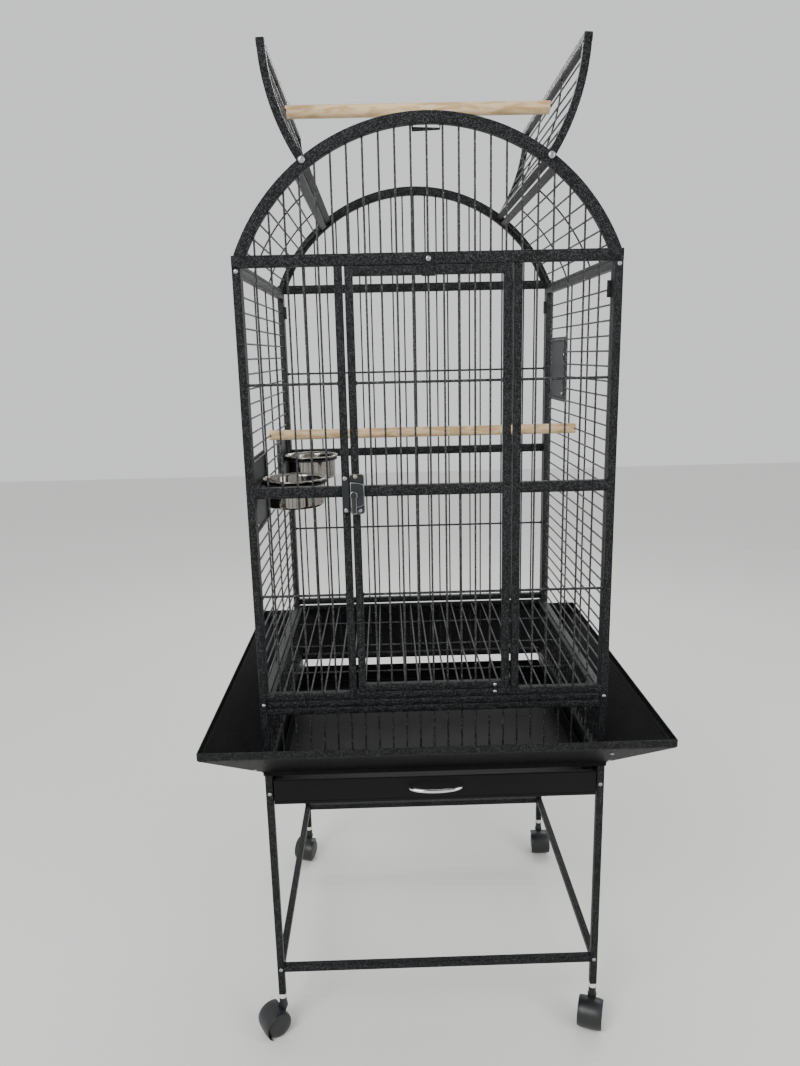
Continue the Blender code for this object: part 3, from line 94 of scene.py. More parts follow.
bpy.context.scene.camera = camera
print("lens", round(lens.lens, 2), "mm")

# %% [markdown]
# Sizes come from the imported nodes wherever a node's box gives them. The few that
# no box shows, such as the height of a rail inside a welded panel, are named
# here, or where a later step first needs them. ROD_BITE is how deep a rod's end
# goes into its tube, and GAP keeps two faces from lying in the same plane.

# %% Sizes
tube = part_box("low_rail_front")[1].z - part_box("low_rail_front")[0].z
half_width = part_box("front_arch")[1].x
half_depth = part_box("back_panel")[1].y
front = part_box("front_arch")[0].y
front_y = front + tube / 2
back_y = half_depth - tube / 2
top_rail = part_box("front_arch")[0].z
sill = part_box("front_sill_rail")[0].z
door_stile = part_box("front_right_section")[0].x
SIDES = {"left": -1, "right": 1}
ENDS = {"front": -1, "back": 1}
RAIL = 0.018
MID_RAIL = 1.0235
ROD = 0.00165
ROD_PITCH = 0.024
ROD_CLEAR = 0.0058
ROD_BITE = 0.003
TUBE_CORNER = 0.0013
GAP = 0.0003
print("tube", round(tube * 1000, 1), "mm")
print("body", round(2 * half_width, 3), "by", round(2 * half_depth, 3), "m")


# %% [markdown]
# Nearly everything on this cage is a bar: an outline carried along a line. A
# curve object with a bevel could do it, but its corners pinch and its size is
# hard to hold. So one helper carries an outline through a list of points, for
# straight tubes, bent arches, hooks and rods alike. The outline is a rounded
# rectangle for tube and a circle for rod.

# %% Outlines
def polar(centre, radius, angle):
    return (centre[0] + radius * math.cos(angle), centre[1] + radius * math.sin(angle))


def swung(point, turn):
    """A flat point turned about the origin."""
    a, b = point
    return (a * math.cos(turn) - b * math.sin(turn), a * math.sin(turn) + b * math.cos(turn))


def circle(radius, sides):
    return [polar((0, 0), radius, 2 * math.pi * step / sides) for step in range(sides)]


def rounded(width, depth, corner=TUBE_CORNER, steps=2):
    """A rectangle with round corners, centred, going counter-clockwise."""
    points = []
    for quarter, (sx, sy) in enumerate(((1, 1), (-1, 1), (-1, -1), (1, -1))):
        for step in range(steps + 1):
            turn = (quarter + step / steps) * math.pi / 2
            middle = (sx * (width / 2 - corner), sy * (depth / 2 - corner))
            points.append(polar(middle, corner, turn))
    return points


print("a tube's outline has", len(rounded(tube, tube)), "points")


# %% [markdown]
# A skin joins rings of points that have the same count. The sweep makes one ring
# at each point of its line and widens it at a bend, so that the tube keeps its
# thickness. A loft takes rings that are ready made, for sheet and moulded parts.

# %% Skins, sweeps and lofts
SHARPEST_BEND = 0.5


def skin(mesh, rings, loop=False):
    """Joins rings of points into one closed surface, with a face on each end."""
    pairs = list(zip(rings, rings[1:]))
    if loop:
        pairs.append((rings[-1], rings[0]))
    else:
        mesh.faces.new(rings[0][::-1])
        mesh.faces.new(rings[-1])
    for one, two in pairs:
        for here in range(len(one)):
            after = (here + 1) % len(one)
            mesh.faces.new((one[here], one[after], two[after], two[here]))


def loft(mesh, rings):
    skin(mesh, [[mesh.verts.new(spot) for spot in ring] for ring in rings])


def sweep(mesh, path, outline, side, loop=False):
    """Carries an outline along a path. Its second number runs along side."""
    path = [Vector(point) for point in path]
    side = Vector(side).normalized()
    last = len(path) - 1
    rings = []
    for step, point in enumerate(path):
        if loop:
            before, after = path[step - 1], path[(step + 1) % len(path)]
        else:
            before, after = path[max(step - 1, 0)], path[min(step + 1, last)]
        across = (after - before).cross(side).normalized()
        leg = path[min(1, last)] - point if step == 0 else point - path[step - 1]
        straight = abs(leg.cross(side).normalized().dot(across))
        widen = 1.0 / max(SHARPEST_BEND, straight)
        rings.append([
            mesh.verts.new(point + across * (a * widen) + side * b) for a, b in outline
        ])
    skin(mesh, rings, loop)


def bar(mesh, start, end, outline, side=(0, 1, 0)):
    sweep(mesh, (start, end), outline, side)


def rod(mesh, start, end, radius=ROD, sides=8):
    along = (Vector(end) - Vector(start)).normalized()
    side = Vector((0, 1, 0)) if abs(along.y) < 0.9 else Vector((0, 0, 1))
    sweep(mesh, (start, end), circle(radius, sides), along.cross(side))


def tube_in_box(mesh, low, high, corner=TUBE_CORNER):
    """A bar with round corners that fills a box, along the box's longest side."""
    low, high = Vector(low), Vector(high)
    size, middle = high - low, (low + high) / 2
    long_way = max(range(3), key=lambda axis: size[axis])
    start, end = middle.copy(), middle.copy()
    start[long_way], end[long_way] = low[long_way], high[long_way]
    across = ((size.z, size.y), (size.z, size.x), (size.x, size.y))[long_way]
    side = ((0, 1, 0), (1, 0, 0), (0, 1, 0))[long_way]
    sweep(mesh, (start, end), rounded(*across, corner), side)


print("sweep helpers ready")


# %% [markdown]
# Bowls, wheels, collars, pins and screw heads are round about an axis. A lathe
# makes them in a workshop, and here a profile of radius and height is spun the
# same way. The profile may start and end on the axis, or close into a ring.

# %% Turned parts
def turned(mesh, profile, matrix, sides=48):
    """Spins a profile of (radius, height) points round Z and returns its rings."""
    rings = []
    for radius, height in profile:
        spots = circle(radius, sides) if radius else [(0.0, 0.0)]
        rings.append([mesh.verts.new(matrix @ Vector((x, y, height))) for x, y in spots])
    pairs = list(zip(rings, rings[1:]))
    if profile[0][0] and profile[-1][0]:
        pairs.append((rings[-1], rings[0]))
    for one, two in pairs:
        for here in range(sides):
            after = (here + 1) % sides
            corners = (
                one[here % len(one)], one[after % len(one)],
                two[after % len(two)], two[here % len(two)],
            )
            mesh.faces.new(list(dict.fromkeys(corners)))
    return rings


def facing(place, outward):
    """A frame at a place, whose Z runs along outward."""
    turn = Vector(outward).to_track_quat("Z", "Y").to_matrix().to_4x4()
    return Matrix.Translation(place) @ turn


def upright(x, y):
    return Matrix.Translation((x, y, 0))


print("lathe ready")


# %% [markdown]
# Each piece is one object. It is smooth shaded with sharp edges kept where the
# angle is steep, it hides the imported node that it stands for, and it rides on the
# body that carries it, so a pose moves it as the real one moves.

# %% Pieces
SHARP_ANGLE = 35
SOFT_ANGLE = 40


def mesh_object(name, mesh):
    bmesh.ops.recalc_face_normals(mesh, faces=mesh.faces)
    data = bpy.data.meshes.new(name)
    mesh.to_mesh(data)
    mesh.free()
    made = bpy.data.objects.new(name, data)
    bpy.context.scene.collection.objects.link(made)
    return made


def shade(data, sharp=SHARP_ANGLE):
    data.shade_smooth()
    data.set_sharp_from_angle(angle=math.radians(sharp))


def piece(name, mesh, material, body, replaces=None, sharp=SHARP_ANGLE):
    """Makes an object of a mesh in world coordinates and ties it to its body."""
    made = mesh_object(name, mesh)
    shade(made.data, sharp)
    made.data.materials.append(material)
    if replaces:
        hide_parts(replaces)
    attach(made, body)
    return made


def weldment(names, meshes, paint, body, node_name):
    """A welded panel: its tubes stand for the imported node, and its rods ride along."""
    piece(names[0], meshes[0], paint, body, node_name)
    piece(names[1], meshes[1], rod_paint_with_glints, body)


def dress(name, material, edge=0.0):
    """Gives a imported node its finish, and soft edges where it has plain corners."""
    made = frame["nodes"][name]
    made.data.materials.clear()
    made.data.materials.append(material)
    if edge:
        step = made.modifiers.new("soft_edges", "BEVEL")
        step.width = edge
        step.segments = 2
        step.limit_method = "ANGLE"
        step.angle_limit = math.radians(SOFT_ANGLE)
    return made


def second_finish(made, material, chosen):
    """Gives the chosen faces of a piece another finish."""
    made.data.materials.append(material)
    for face in made.data.polygons:
        if chosen(face):
            face.material_index = 1


print("piece helpers ready")


# %% [markdown]
# Materials are built from nodes, and a few helpers keep them short. One fills a
# node's inputs with plain values or links, and the others make the nodes that
# come up again and again. Effects that several finishes share are node groups:
# a group gives only colours, masks and heights, and each material keeps its own
# Principled shader.

# %% Node helpers
COLOUR, NUMBER = "NodeSocketColor", "NodeSocketFloat"


def feed(tree, target, values):
    """Fills a node's inputs, each with a plain value or a link."""
    for key, value in values.items():
        if isinstance(value, bpy.types.NodeSocket):
            tree.links.new(value, target.inputs[key])
        else:
            target.inputs[key].default_value = value


def node(tree, kind, inputs=None, **settings):
    made = tree.nodes.new(kind)
    for key, value in settings.items():
        setattr(made, key, value)
    feed(tree, made, inputs or {})
    return made


def maths(tree, operation, one, two, three=0.0, clamp=False):
    """One step of arithmetic. Only MULTIPLY_ADD reads the third value."""
    return node(
        tree, "ShaderNodeMath", {0: one, 1: two, 2: three},
        operation=operation, use_clamp=clamp,
    ).outputs[0]


def blend_colours(tree, share, one, two):
    return node(
        tree, "ShaderNodeMix", {0: share, 6: one, 7: two}, data_type="RGBA"
    ).outputs[2]


def object_place(tree):
    return node(tree, "ShaderNodeTexCoord").outputs["Object"]


def noise(tree, place, scale, detail, output="Fac", distortion=0.0):
    inputs = {"Vector": place, "Scale": scale, "Detail": detail, "Distortion": distortion}
    return node(tree, "ShaderNodeTexNoise", inputs).outputs[output]


def bump(tree, shader, height, strength, distance):
    values = {"Height": height, "Strength": strength, "Distance": distance}
    feed(tree, shader, {"Normal": node(tree, "ShaderNodeBump", values).outputs["Normal"]})


def new_group(name, inputs, outputs):
    """A shader node group, with its inputs' names and values and its outputs' names."""
    group = bpy.data.node_groups.new(name, "ShaderNodeTree")
    for label, value in inputs.items():
        kind = COLOUR if isinstance(value, tuple) else NUMBER
        socket = group.interface.new_socket(label, in_out="INPUT", socket_type=kind)
        socket.default_value = value
    for label in outputs:
        kind = COLOUR if label == "Color" else NUMBER
        group.interface.new_socket(label, in_out="OUTPUT", socket_type=kind)
    entry, leave = group.nodes.new("NodeGroupInput"), group.nodes.new("NodeGroupOutput")
    return group, entry.outputs, leave


def effect(tree, group, values):
    """Places a group in a material with its own values."""
    return node(tree, "ShaderNodeGroup", values, node_tree=group).outputs


def new_material(name):
    """A material with its Principled shader, which the caller fills in."""
    made = bpy.data.materials.new(name)
    made.use_nodes = True
    return made, made.node_tree, made.node_tree.nodes["Principled BSDF"]


print("material helpers ready")

# %% [markdown]
# Hammered paint dries into cells a millimetre or so across: a near black ground
# with grey flecks that catch the light. Cells of a Voronoi texture, bent by noise,
# give the flecks; the distance to each cell's edge gives the dimples.

# %% Hammered paint group
SWIRL_SCALE, SWIRL_PUSH = 620.0, 0.0014
CELL_STEEPNESS = 3.2
PAINT_ROUGH, PAINT_ROUGH_SPREAD = 0.32, 0.2
hammered_group, entry, leave = new_group("hammered_paint", {
    "Cells per metre": 760.0, "Fleck share": 0.4,
    "Base": (0.006, 0.0065, 0.007, 1), "Fleck": (0.06, 0.063, 0.066, 1),
}, ("Color", "Roughness", "Height"))
where = object_place(hammered_group)
swirl = noise(hammered_group, where, SWIRL_SCALE, 2.0, "Color")
push = node(
    hammered_group, "ShaderNodeVectorMath", {0: swirl, 1: (SWIRL_PUSH,) * 3},
    operation="MULTIPLY",
).outputs[0]
warped = node(
    hammered_group, "ShaderNodeVectorMath", {0: where, 1: push}, operation="ADD"
).outputs[0]
cell_inputs = {"Vector": warped, "Scale": entry["Cells per metre"]}
cells = node(hammered_group, "ShaderNodeTexVoronoi", cell_inputs, feature="F1")
rims = node(
    hammered_group, "ShaderNodeTexVoronoi", cell_inputs, feature="DISTANCE_TO_EDGE"
)
lot = node(
    hammered_group, "ShaderNodeSeparateColor", {0: cells.outputs["Color"]}
).outputs[0]
chosen = maths(hammered_group, "LESS_THAN", lot, entry["Fleck share"])
heart = maths(
    hammered_group, "MULTIPLY", rims.outputs["Distance"], CELL_STEEPNESS, clamp=True
)
fleck = maths(hammered_group, "MULTIPLY", chosen, heart, clamp=True)
feed(hammered_group, leave, {
    "Color": blend_colours(hammered_group, fleck, entry["Base"], entry["Fleck"]),
    "Roughness": maths(
        hammered_group, "MULTIPLY_ADD", lot, PAINT_ROUGH_SPREAD, PAINT_ROUGH
    ),
    "Height": heart,
})
print("group", hammered_group.name)

# %% [markdown]
# Dust settles on faces that look up, and handling leaves faint marks. This group
# gives a mask from the surface's own direction and soft noise, so it stays put
# whichever way the camera looks.

# %% Dust and wear group
LEVEL_GAIN, LEVEL_START = 0.6, 0.3
PATCH_CONTRAST, PATCH_START = 2.4, -0.7
dust_group, entry, leave = new_group(
    "settled_dust", {"Amount": 0.2, "Patches per metre": 12.0}, ("Mask",)
)
surface = node(dust_group, "ShaderNodeNewGeometry").outputs["Normal"]
upward = node(dust_group, "ShaderNodeSeparateXYZ", {0: surface}).outputs[2]
upward = maths(dust_group, "MULTIPLY_ADD", upward, LEVEL_GAIN, LEVEL_START, clamp=True)
patch = noise(dust_group, object_place(dust_group), entry["Patches per metre"], 6.0)
patch = maths(dust_group, "MULTIPLY_ADD", patch, PATCH_CONTRAST, PATCH_START, clamp=True)
both = maths(dust_group, "MULTIPLY", upward, patch)
feed(dust_group, leave, {"Mask": maths(dust_group, "MULTIPLY", both, entry["Amount"])})
print("group", dust_group.name)

# %% [markdown]
# Planed pine shows long grain along the rod: broad pale bands, finer dark lines
# and a knot now and then. A picture of wood could be wrapped on, but noise needs
# none: read at places that are squeezed along the perch, it looks stretched and
# gives the bands and lines. A few Voronoi cells give the knots.

# %% Pine grain group
PALE_WOOD, DEEP_WOOD = (0.76, 0.58, 0.34, 1), (0.52, 0.35, 0.17, 1)
GRAIN_LINE, KNOT = (0.40, 0.24, 0.11, 1), (0.22, 0.11, 0.05, 1)
FINE_GRAIN = 900.0
LINE_CONTRAST, LINE_START = 0.5, -0.12
BAND_EDGES = (0.40, 0.56)
KNOT_SCALE, KNOT_SIZE, KNOT_DEPTH = 9.0, 0.06, 0.6
PINE_ROUGH, PINE_ROUGH_SPREAD = 0.48, 0.25
grain_group, entry, leave = new_group(
    "pine_grain", {"Bands": 60.0, "Stretch": 0.05}, ("Color", "Roughness", "Height")
)
where = object_place(grain_group)
axes = node(grain_group, "ShaderNodeSeparateXYZ", {0: where}).outputs
long_way = maths(grain_group, "MULTIPLY", axes[0], entry["Stretch"])
squeezed = node(
    grain_group, "ShaderNodeCombineXYZ", {0: long_way, 1: axes[1], 2: axes[2]}
).outputs[0]
broad = noise(grain_group, squeezed, entry["Bands"], 3.0, distortion=0.6)
fine = noise(grain_group, squeezed, FINE_GRAIN, 4.0)
knots = node(
    grain_group, "ShaderNodeTexVoronoi", {"Vector": where, "Scale": KNOT_SCALE}, feature="F1"
).outputs["Distance"]
knots = maths(grain_group, "LESS_THAN", knots, KNOT_SIZE)
ramp = node(grain_group, "ShaderNodeValToRGB", {0: broad})
for stop, place, colour in zip(ramp.color_ramp.elements, BAND_EDGES, (DEEP_WOOD, PALE_WOOD)):
    stop.position, stop.color = place, colour
lines = maths(grain_group, "MULTIPLY_ADD", fine, LINE_CONTRAST, LINE_START, clamp=True)
streaked = blend_colours(grain_group, lines, ramp.outputs[0], GRAIN_LINE)
knot_share = maths(grain_group, "MULTIPLY", knots, KNOT_DEPTH)
feed(grain_group, leave, {
    "Color": blend_colours(grain_group, knot_share, streaked, KNOT),
    "Roughness": maths(grain_group, "MULTIPLY_ADD", fine, PINE_ROUGH_SPREAD, PINE_ROUGH),
    "Height": fine,
})
print("group", grain_group.name)

# %% [markdown]
# Drawn and polished steel carries fine lines round the bowl and faint smudges.
# Noise that changes fast along Z and slowly across does for the bowls, the bolts
# and the handle.

# %% Fine line group
LINE_SQUEEZE, LINE_ROUGH = 0.03, 0.08
SMUDGE_SCALE = 45.0
lines_group, entry, leave = new_group(
    "fine_lines", {"Lines per metre": 1800.0, "Smudge": 0.15}, ("Roughness", "Height", "Tint")
)
where = object_place(lines_group)
axes = node(lines_group, "ShaderNodeSeparateXYZ", {0: where}).outputs
level = {step: maths(lines_group, "MULTIPLY", axes[step], LINE_SQUEEZE) for step in (0, 1)}
flat = node(lines_group, "ShaderNodeCombineXYZ", {**level, 2: axes[2]}).outputs[0]
drawn = noise(lines_group, flat, entry["Lines per metre"], 2.0)
smudge = noise(lines_group, where, SMUDGE_SCALE, 4.0)
rough = maths(lines_group, "MULTIPLY", smudge, entry["Smudge"])
line_rough = maths(lines_group, "MULTIPLY", drawn, LINE_ROUGH)
feed(lines_group, leave, {
    "Roughness": maths(lines_group, "ADD", rough, line_rough), "Height": drawn, "Tint": smudge,
})
print("group", lines_group.name)


# %% [markdown]
# The frame's finish is black hammered paint with grey flecks. The rods, the side
# panels, the guards and their lips carry the same paint, thicker or plainer. The
# rods' flecks are brightened as painted glints, and the guards' slopes are
# darkened as painted shade. So one function makes them all, from the cells' size,
# the flecks' share, the two colours and how much the paint mirrors.

# %% Painted finishes
FRAME_DUST = (0.13, 0.125, 0.115, 1)


def hammered_paint(name, cells_per_metre, share, base, fleck_colour, mirroring):
    made, tree, shader = new_material(name)
    paint = effect(tree, hammered_group, {
        "Cells per metre": cells_per_metre, "Fleck share": share,
        "Base": (*base, 1), "Fleck": (*fleck_colour, 1),
    })
    dust = effect(tree, dust_group, {"Amount": 0.04, "Patches per metre": 14.0})
    feed(tree, shader, {
        "Base Color": blend_colours(tree, dust["Mask"], paint["Color"], FRAME_DUST),
        "Roughness": paint["Roughness"], "Specular IOR Level": mirroring,
    })
    bump(tree, shader, paint["Height"], 0.6, 0.0005)
    return made


BLACK, FLECK_GREY = (0.0016, 0.0018, 0.0020), (0.070, 0.075, 0.081)
frame_paint = hammered_paint("hammered_black", 780.0, 0.36, BLACK, FLECK_GREY, 0.16)
# The rods' flecks are brighter than the frame's: partly the paint's own flecks, partly painted
# glints.
rod_paint_with_glints = hammered_paint("hammered_rods", 520.0, 0.36, BLACK, (0.110, 0.116, 0.122), 0.45)
panel_paint = hammered_paint(
    "hammered_grey", 780.0, 0.34, (0.003, 0.0032, 0.0035), (0.060, 0.064, 0.068), 0.34
)
# The guards' slopes get a darker copy of the hammered paint: painted shade.
guard_shade_paint = hammered_paint(
    "hammered_guards", 700.0, 0.20, (0.0012, 0.0013, 0.0014), (0.012, 0.0125, 0.013), 0.07
)
lip_paint = hammered_paint(
    "hammered_lips", 780.0, 0.38, (0.0022, 0.0024, 0.0026), (0.055, 0.058, 0.062), 0.14
)
paints = (frame_paint, rod_paint_with_glints, panel_paint, guard_shade_paint, lip_paint)
print("paints", *(paint.name for paint in paints))


# %% [markdown]
# The tray and the feeder doors are smooth powder coated sheet. A very fine noise
# makes the orange peel that such paint has, and dust lies where it can settle.

# %% Smooth sheet finishes
SHEET_DUST = (0.10, 0.095, 0.085, 1)
SHEET_ROUGH_SPREAD, SHEET_MIRRORING = 0.16, 0.16
PEEL_SCALE, CLOUD_SCALE = 900.0, 7.0


def sheet_paint(name, colour, roughness):
    made, tree, shader = new_material(name)
    where = object_place(tree)
    peel = noise(tree, where, PEEL_SCALE, 2.0)
    cloud = noise(tree, where, CLOUD_SCALE, 5.0)
    dust = effect(tree, dust_group, {"Amount": 0.05, "Patches per metre": 9.0})
    feed(tree, shader, {
        "Base Color": blend_colours(tree, dust["Mask"], (*colour, 1), SHEET_DUST),
        "Roughness": maths(tree, "MULTIPLY_ADD", cloud, SHEET_ROUGH_SPREAD, roughness),
        "Specular IOR Level": SHEET_MIRRORING,
    })
    bump(tree, shader, peel, 0.12, 0.0003)
    return made


tray_paint = sheet_paint("tray_satin_black", (0.0030, 0.0030, 0.0033), 0.40)
plate_paint = sheet_paint("feeder_plate_grey", (0.036, 0.039, 0.043), 0.36)
print("sheet finishes ready")

# %% [markdown]
# The perches are bare pine. The bowls are polished steel, the handle is chromed
# and the screws are zinc plated, one of them yellow: these four differ only in
# colour, roughness and how fine their lines are.

# %% Wood and metals
pine, tree, shader = new_material("pale_pine")
grain = effect(tree, grain_group, {"Bands": 120.0, "Stretch": 0.2})
feed(tree, shader, {"Base Color": grain["Color"], "Roughness": grain["Roughness"]})
bump(tree, shader, grain["Height"], 0.2, 0.0004)


def shaded(colour, share):
    return (*[part * share for part in colour], 1)


def polished_metal(name, colour, roughness, lines_per_metre, smudge_amount):
    made, tree, shader = new_material(name)
    lines = effect(tree, lines_group, {
        "Lines per metre": lines_per_metre, "Smudge": smudge_amount,
    })
    feed(tree, shader, {
        "Base Color": blend_colours(tree, lines["Tint"], (*colour, 1), shaded(colour, 0.82)),
        "Roughness": maths(tree, "ADD", lines["Roughness"], roughness), "Metallic": 1.0,
    })
    bump(tree, shader, lines["Height"], 0.04, 0.0002)
    return made


# The bowls' steel is darker than bare steel all over: painted shade for their dark inside.
bowl_shaded_steel = polished_metal("polished_steel", (0.29, 0.275, 0.25), 0.03, 1500.0, 0.10)
chrome = polished_metal("bright_chrome", (0.80, 0.80, 0.81), 0.03, 2500.0, 0.08)
zinc = polished_metal("zinc_plate", (0.42, 0.43, 0.45), 0.20, 900.0, 0.20)
brass = polished_metal("yellow_zinc", (0.46, 0.40, 0.28), 0.22, 900.0, 0.20)
# A brighter metal for the latch's rims, as a painted highlight on their edges.
latch_rim_highlight = polished_metal("latch_worn_rim", (0.30, 0.32, 0.33), 0.16, 900.0, 0.20)
print("wood and metals ready")


# %% [markdown]
# The casters and the legs' collars are moulded plastic, with a faint grain from
# the mould. The latch is cast metal under a glossy black coat, which looks the
# same from a step away, so it shares the function with a low roughness.

# %% Plastic and gloss
MOULD_SCALE, TONE_SCALE = 1600.0, 60.0
TONE_DARKER, PLASTIC_ROUGH_SPREAD = 0.7, 0.18


def moulded_plastic(name, colour, roughness):
    made, tree, shader = new_material(name)
    where = object_place(tree)
    mould_grain = noise(tree, where, MOULD_SCALE, 3.0)
    cloud = noise(tree, where, TONE_SCALE, 4.0)
    feed(tree, shader, {
        "Base Color": blend_colours(tree, cloud, (*colour, 1), shaded(colour, TONE_DARKER)),
        "Roughness": maths(tree, "MULTIPLY_ADD", cloud, PLASTIC_ROUGH_SPREAD, roughness),
    })
    bump(tree, shader, mould_grain, 0.15, 0.0002)
    return made


caster_plastic = moulded_plastic("caster_black", (0.012, 0.0125, 0.014), 0.30)
collar_plastic = moulded_plastic("collar_white", (0.78, 0.78, 0.76), 0.38)
latch_gloss = moulded_plastic("latch_black", (0.010, 0.012, 0.014), 0.08)
print("plastic and gloss ready")


# %% [markdown]
# Rods stand on one shared pitch, with a rod in the middle of the cage, so that
# those of the door and of the panels beside it line up. Thicker cross rods are
# welded behind them, and a lump of weld shows where each meets a tube. Posts,
# rails and rods are short helpers, which keep the panels easy to read.

# %% Posts, rails, rods and welds
CROSS_ROD = 0.0022
BEAD_RADIUS, BEAD_BITE = 0.0038, 0.001
BEAD_DOME = ((0.92, 0.0008), (0.7, 0.0019), (0.0, 0.0026))


def columns(low, high):
    """Where the rods stand between two tubes."""
    first = math.ceil((low + ROD_CLEAR) / ROD_PITCH)
    last = math.floor((high - ROD_CLEAR) / ROD_PITCH)
    return [step * ROD_PITCH for step in range(first, last + 1)]


def post(mesh, x, y, low, high):
    bar(mesh, (x, y, low), (x, y, high), rounded(tube, tube))


def rail(mesh, x_low, x_high, y, z, height=tube):
    bar(mesh, (x_low, y, z), (x_high, y, z), rounded(height, tube - 2 * GAP))


def weld_bead(mesh, place, outward):
    foot = [(0.0, -BEAD_BITE), (BEAD_RADIUS, -BEAD_BITE)]
    dome = [(BEAD_RADIUS * share, height) for share, height in BEAD_DOME]
    turned(mesh, foot + dome, facing(place, outward), sides=16)


def welded_rods(mesh, low_x, high_x, y, low, high, crosses):
    """Upright rods between two tubes, with thicker cross rods welded to their backs."""
    for x in columns(low_x, high_x):
        rod(mesh, (x, y - ROD, low), (x, y - ROD, high))
    back = y + CROSS_ROD
    for z in crosses:
        start, end = low_x - ROD_BITE, high_x + ROD_BITE
        rod(mesh, (start, back, z), (end, back, z), CROSS_ROD, sides=12)
        weld_bead(mesh, (low_x, back, z), (1, 0, 0))
        weld_bead(mesh, (high_x, back, z), (-1, 0, 0))


print("rods across the body", len(columns(-half_width + tube, half_width - tube)))

# %% [markdown]
# The front's two barred sides are one weldment each: a post, the door's stile,
# two rails, the upright rods and two cross rods. A level sill joins them below.

# %% Front sections
FRONT_CROSSES = (0.856, 1.205)
for word, side in SIDES.items():
    low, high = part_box(f"front_{word}_section")
    metal, rods = bmesh.new(), bmesh.new()
    post_x, stile_x = side * (half_width - tube / 2), side * (door_stile + tube / 2)
    post(metal, post_x, front_y, low.z, high.z)
    post(metal, stile_x, front_y, sill, high.z)
    rail(metal, stile_x, post_x, front_y, sill + tube / 2)
    rail(metal, stile_x, post_x, front_y, MID_RAIL + RAIL / 2, RAIL)
    inner = sorted((side * (door_stile + tube), side * (half_width - tube)))
    welded_rods(rods, *inner, front_y, sill + tube - ROD_BITE, high.z, FRONT_CROSSES)
    weldment(
        (f"front_{word}_tubes", f"front_{word}_rods"), (metal, rods), frame_paint, "cage",
        f"front_{word}_section",
    )
mesh = bmesh.new()
sill_low, sill_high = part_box("front_sill_rail")
rail(mesh, sill_low.x, sill_high.x, front_y, sill + tube / 2)
piece("sill_tube", mesh, frame_paint, "cage", "front_sill_rail")
print("front sections made")

# %% [markdown]
# The arch is one bent tube, deeper than it is thick, on a flat top rail. Its
# centre and radius follow from the node's box, since the arch spans the whole
# width: only the height of its centre has to be named. A small wire staple is
# welded inside its top.

# %% Arches
ARCH_CENTRE = 1.2757
ARCH_TUBE = 0.0175
ARCH_STEPS = 56
STAPLE_HALF, STAPLE_DROP, STAPLE_WIRE = 0.0205, 0.0062, 0.0017
arch_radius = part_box("front_arch")[1].z - ARCH_CENTRE
arch_inner = arch_radius - ARCH_TUBE
centre = (0.0, ARCH_CENTRE)
arch_middle = arch_radius - ARCH_TUBE / 2
arch_start = math.asin((top_rail + RAIL / 2 - ARCH_CENTRE) / arch_middle)


def in_plane(points, y):
    return [(x, y, z) for x, z in points]


def arc(middle, radius, start, end, steps):
    angles = [start + (end - start) * step / steps for step in range(steps + 1)]
    return [polar(middle, radius, angle) for angle in angles]


def add_arch(metal, rods, y):
    path = arc(centre, arch_middle, arch_start, math.pi - arch_start, ARCH_STEPS)
    sweep(metal, in_plane(path, y), rounded(ARCH_TUBE, tube), (0, 1, 0))
    rail(metal, -half_width, half_width, y, top_rail + RAIL / 2, RAIL)
    rail_top = top_rail + RAIL
    reach = math.sqrt(arch_inner**2 - (rail_top - ARCH_CENTRE) ** 2)
    for x in columns(-reach, reach):
        top = ARCH_CENTRE + math.sqrt(arch_inner**2 - x**2) + ROD_BITE
        rod(rods, (x, y - ROD, rail_top - ROD_BITE), (x, y - ROD, top))


metal, rods = bmesh.new(), bmesh.new()
add_arch(metal, rods, front_y)
arch_underside = ARCH_CENTRE + arch_inner
staple = in_plane([
    (-STAPLE_HALF, arch_underside + ROD_BITE), (-STAPLE_HALF, arch_underside - STAPLE_DROP),
    (STAPLE_HALF, arch_underside - STAPLE_DROP), (STAPLE_HALF, arch_underside + ROD_BITE),
], front_y + 2 * ROD)
sweep(metal, staple, circle(STAPLE_WIRE, 10), (0, 1, 0))
weldment(
    ("front_arch_tube", "front_arch_rods"), (metal, rods), frame_paint, "cage", "front_arch"
)
print("arch radius", round(arch_radius, 4))

# %% [markdown]
# The back is one barred panel from the sill up to its own arch. It has no door,
# so its rods run right across between the posts.

# %% Back panel
BACK_RAIL = 0.0175
BACK_CROSSES = (0.855, 1.210)
metal, rods = bmesh.new(), bmesh.new()
add_arch(metal, rods, back_y)
across, inner = half_width - tube / 2, half_width - tube
for side in SIDES.values():
    post(metal, side * across, back_y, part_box("back_panel")[0].z, top_rail + GAP)
rail(metal, -across, across, back_y, sill + tube / 2)
rail(metal, -across, across, back_y, MID_RAIL + BACK_RAIL / 2, BACK_RAIL)
welded_rods(
    rods, -inner, inner, back_y, sill + tube - ROD_BITE, top_rail + ROD_BITE, BACK_CROSSES
)
weldment(("back_tubes", "back_rods"), (metal, rods), frame_paint, "cage", "back_panel")
print("back rods", len(columns(-inner, inner)))

# %% [markdown]
# Each side panel is a tube frame with level wires on a close pitch and two
# upright wires outside them. Where a feeder opening is, the wires stop at two
# rods that frame it. Small plates are welded in three of the upper corners.

# %% Side panels
SIDE_TOP_WIRE = 1.342
SIDE_WIRE_PITCH = 0.0241
SIDE_UPRIGHTS = (-0.0825, 0.0525)
FEEDER_Y = 0.1625
FEEDER_REACH = 0.0745
FEEDER_ROD = 0.0019
FEEDER_WIRES = 5
FEEDERS = {"left": ((-FEEDER_Y, FEEDER_Y), 11), "right": ((FEEDER_Y,), 3)}
PLATE_THICK, PLATE_WIDTH, PLATE_HEIGHT, PLATE_ROUND = 0.0016, 0.006, 0.026, 0.0005
CORNER_PLATES = {("left", "back"), ("right", "back"), ("right", "front")}
CORNER_PLATE_HEIGHT = 1.341


def wire_height(step):
    return SIDE_TOP_WIRE - step * SIDE_WIRE_PITCH


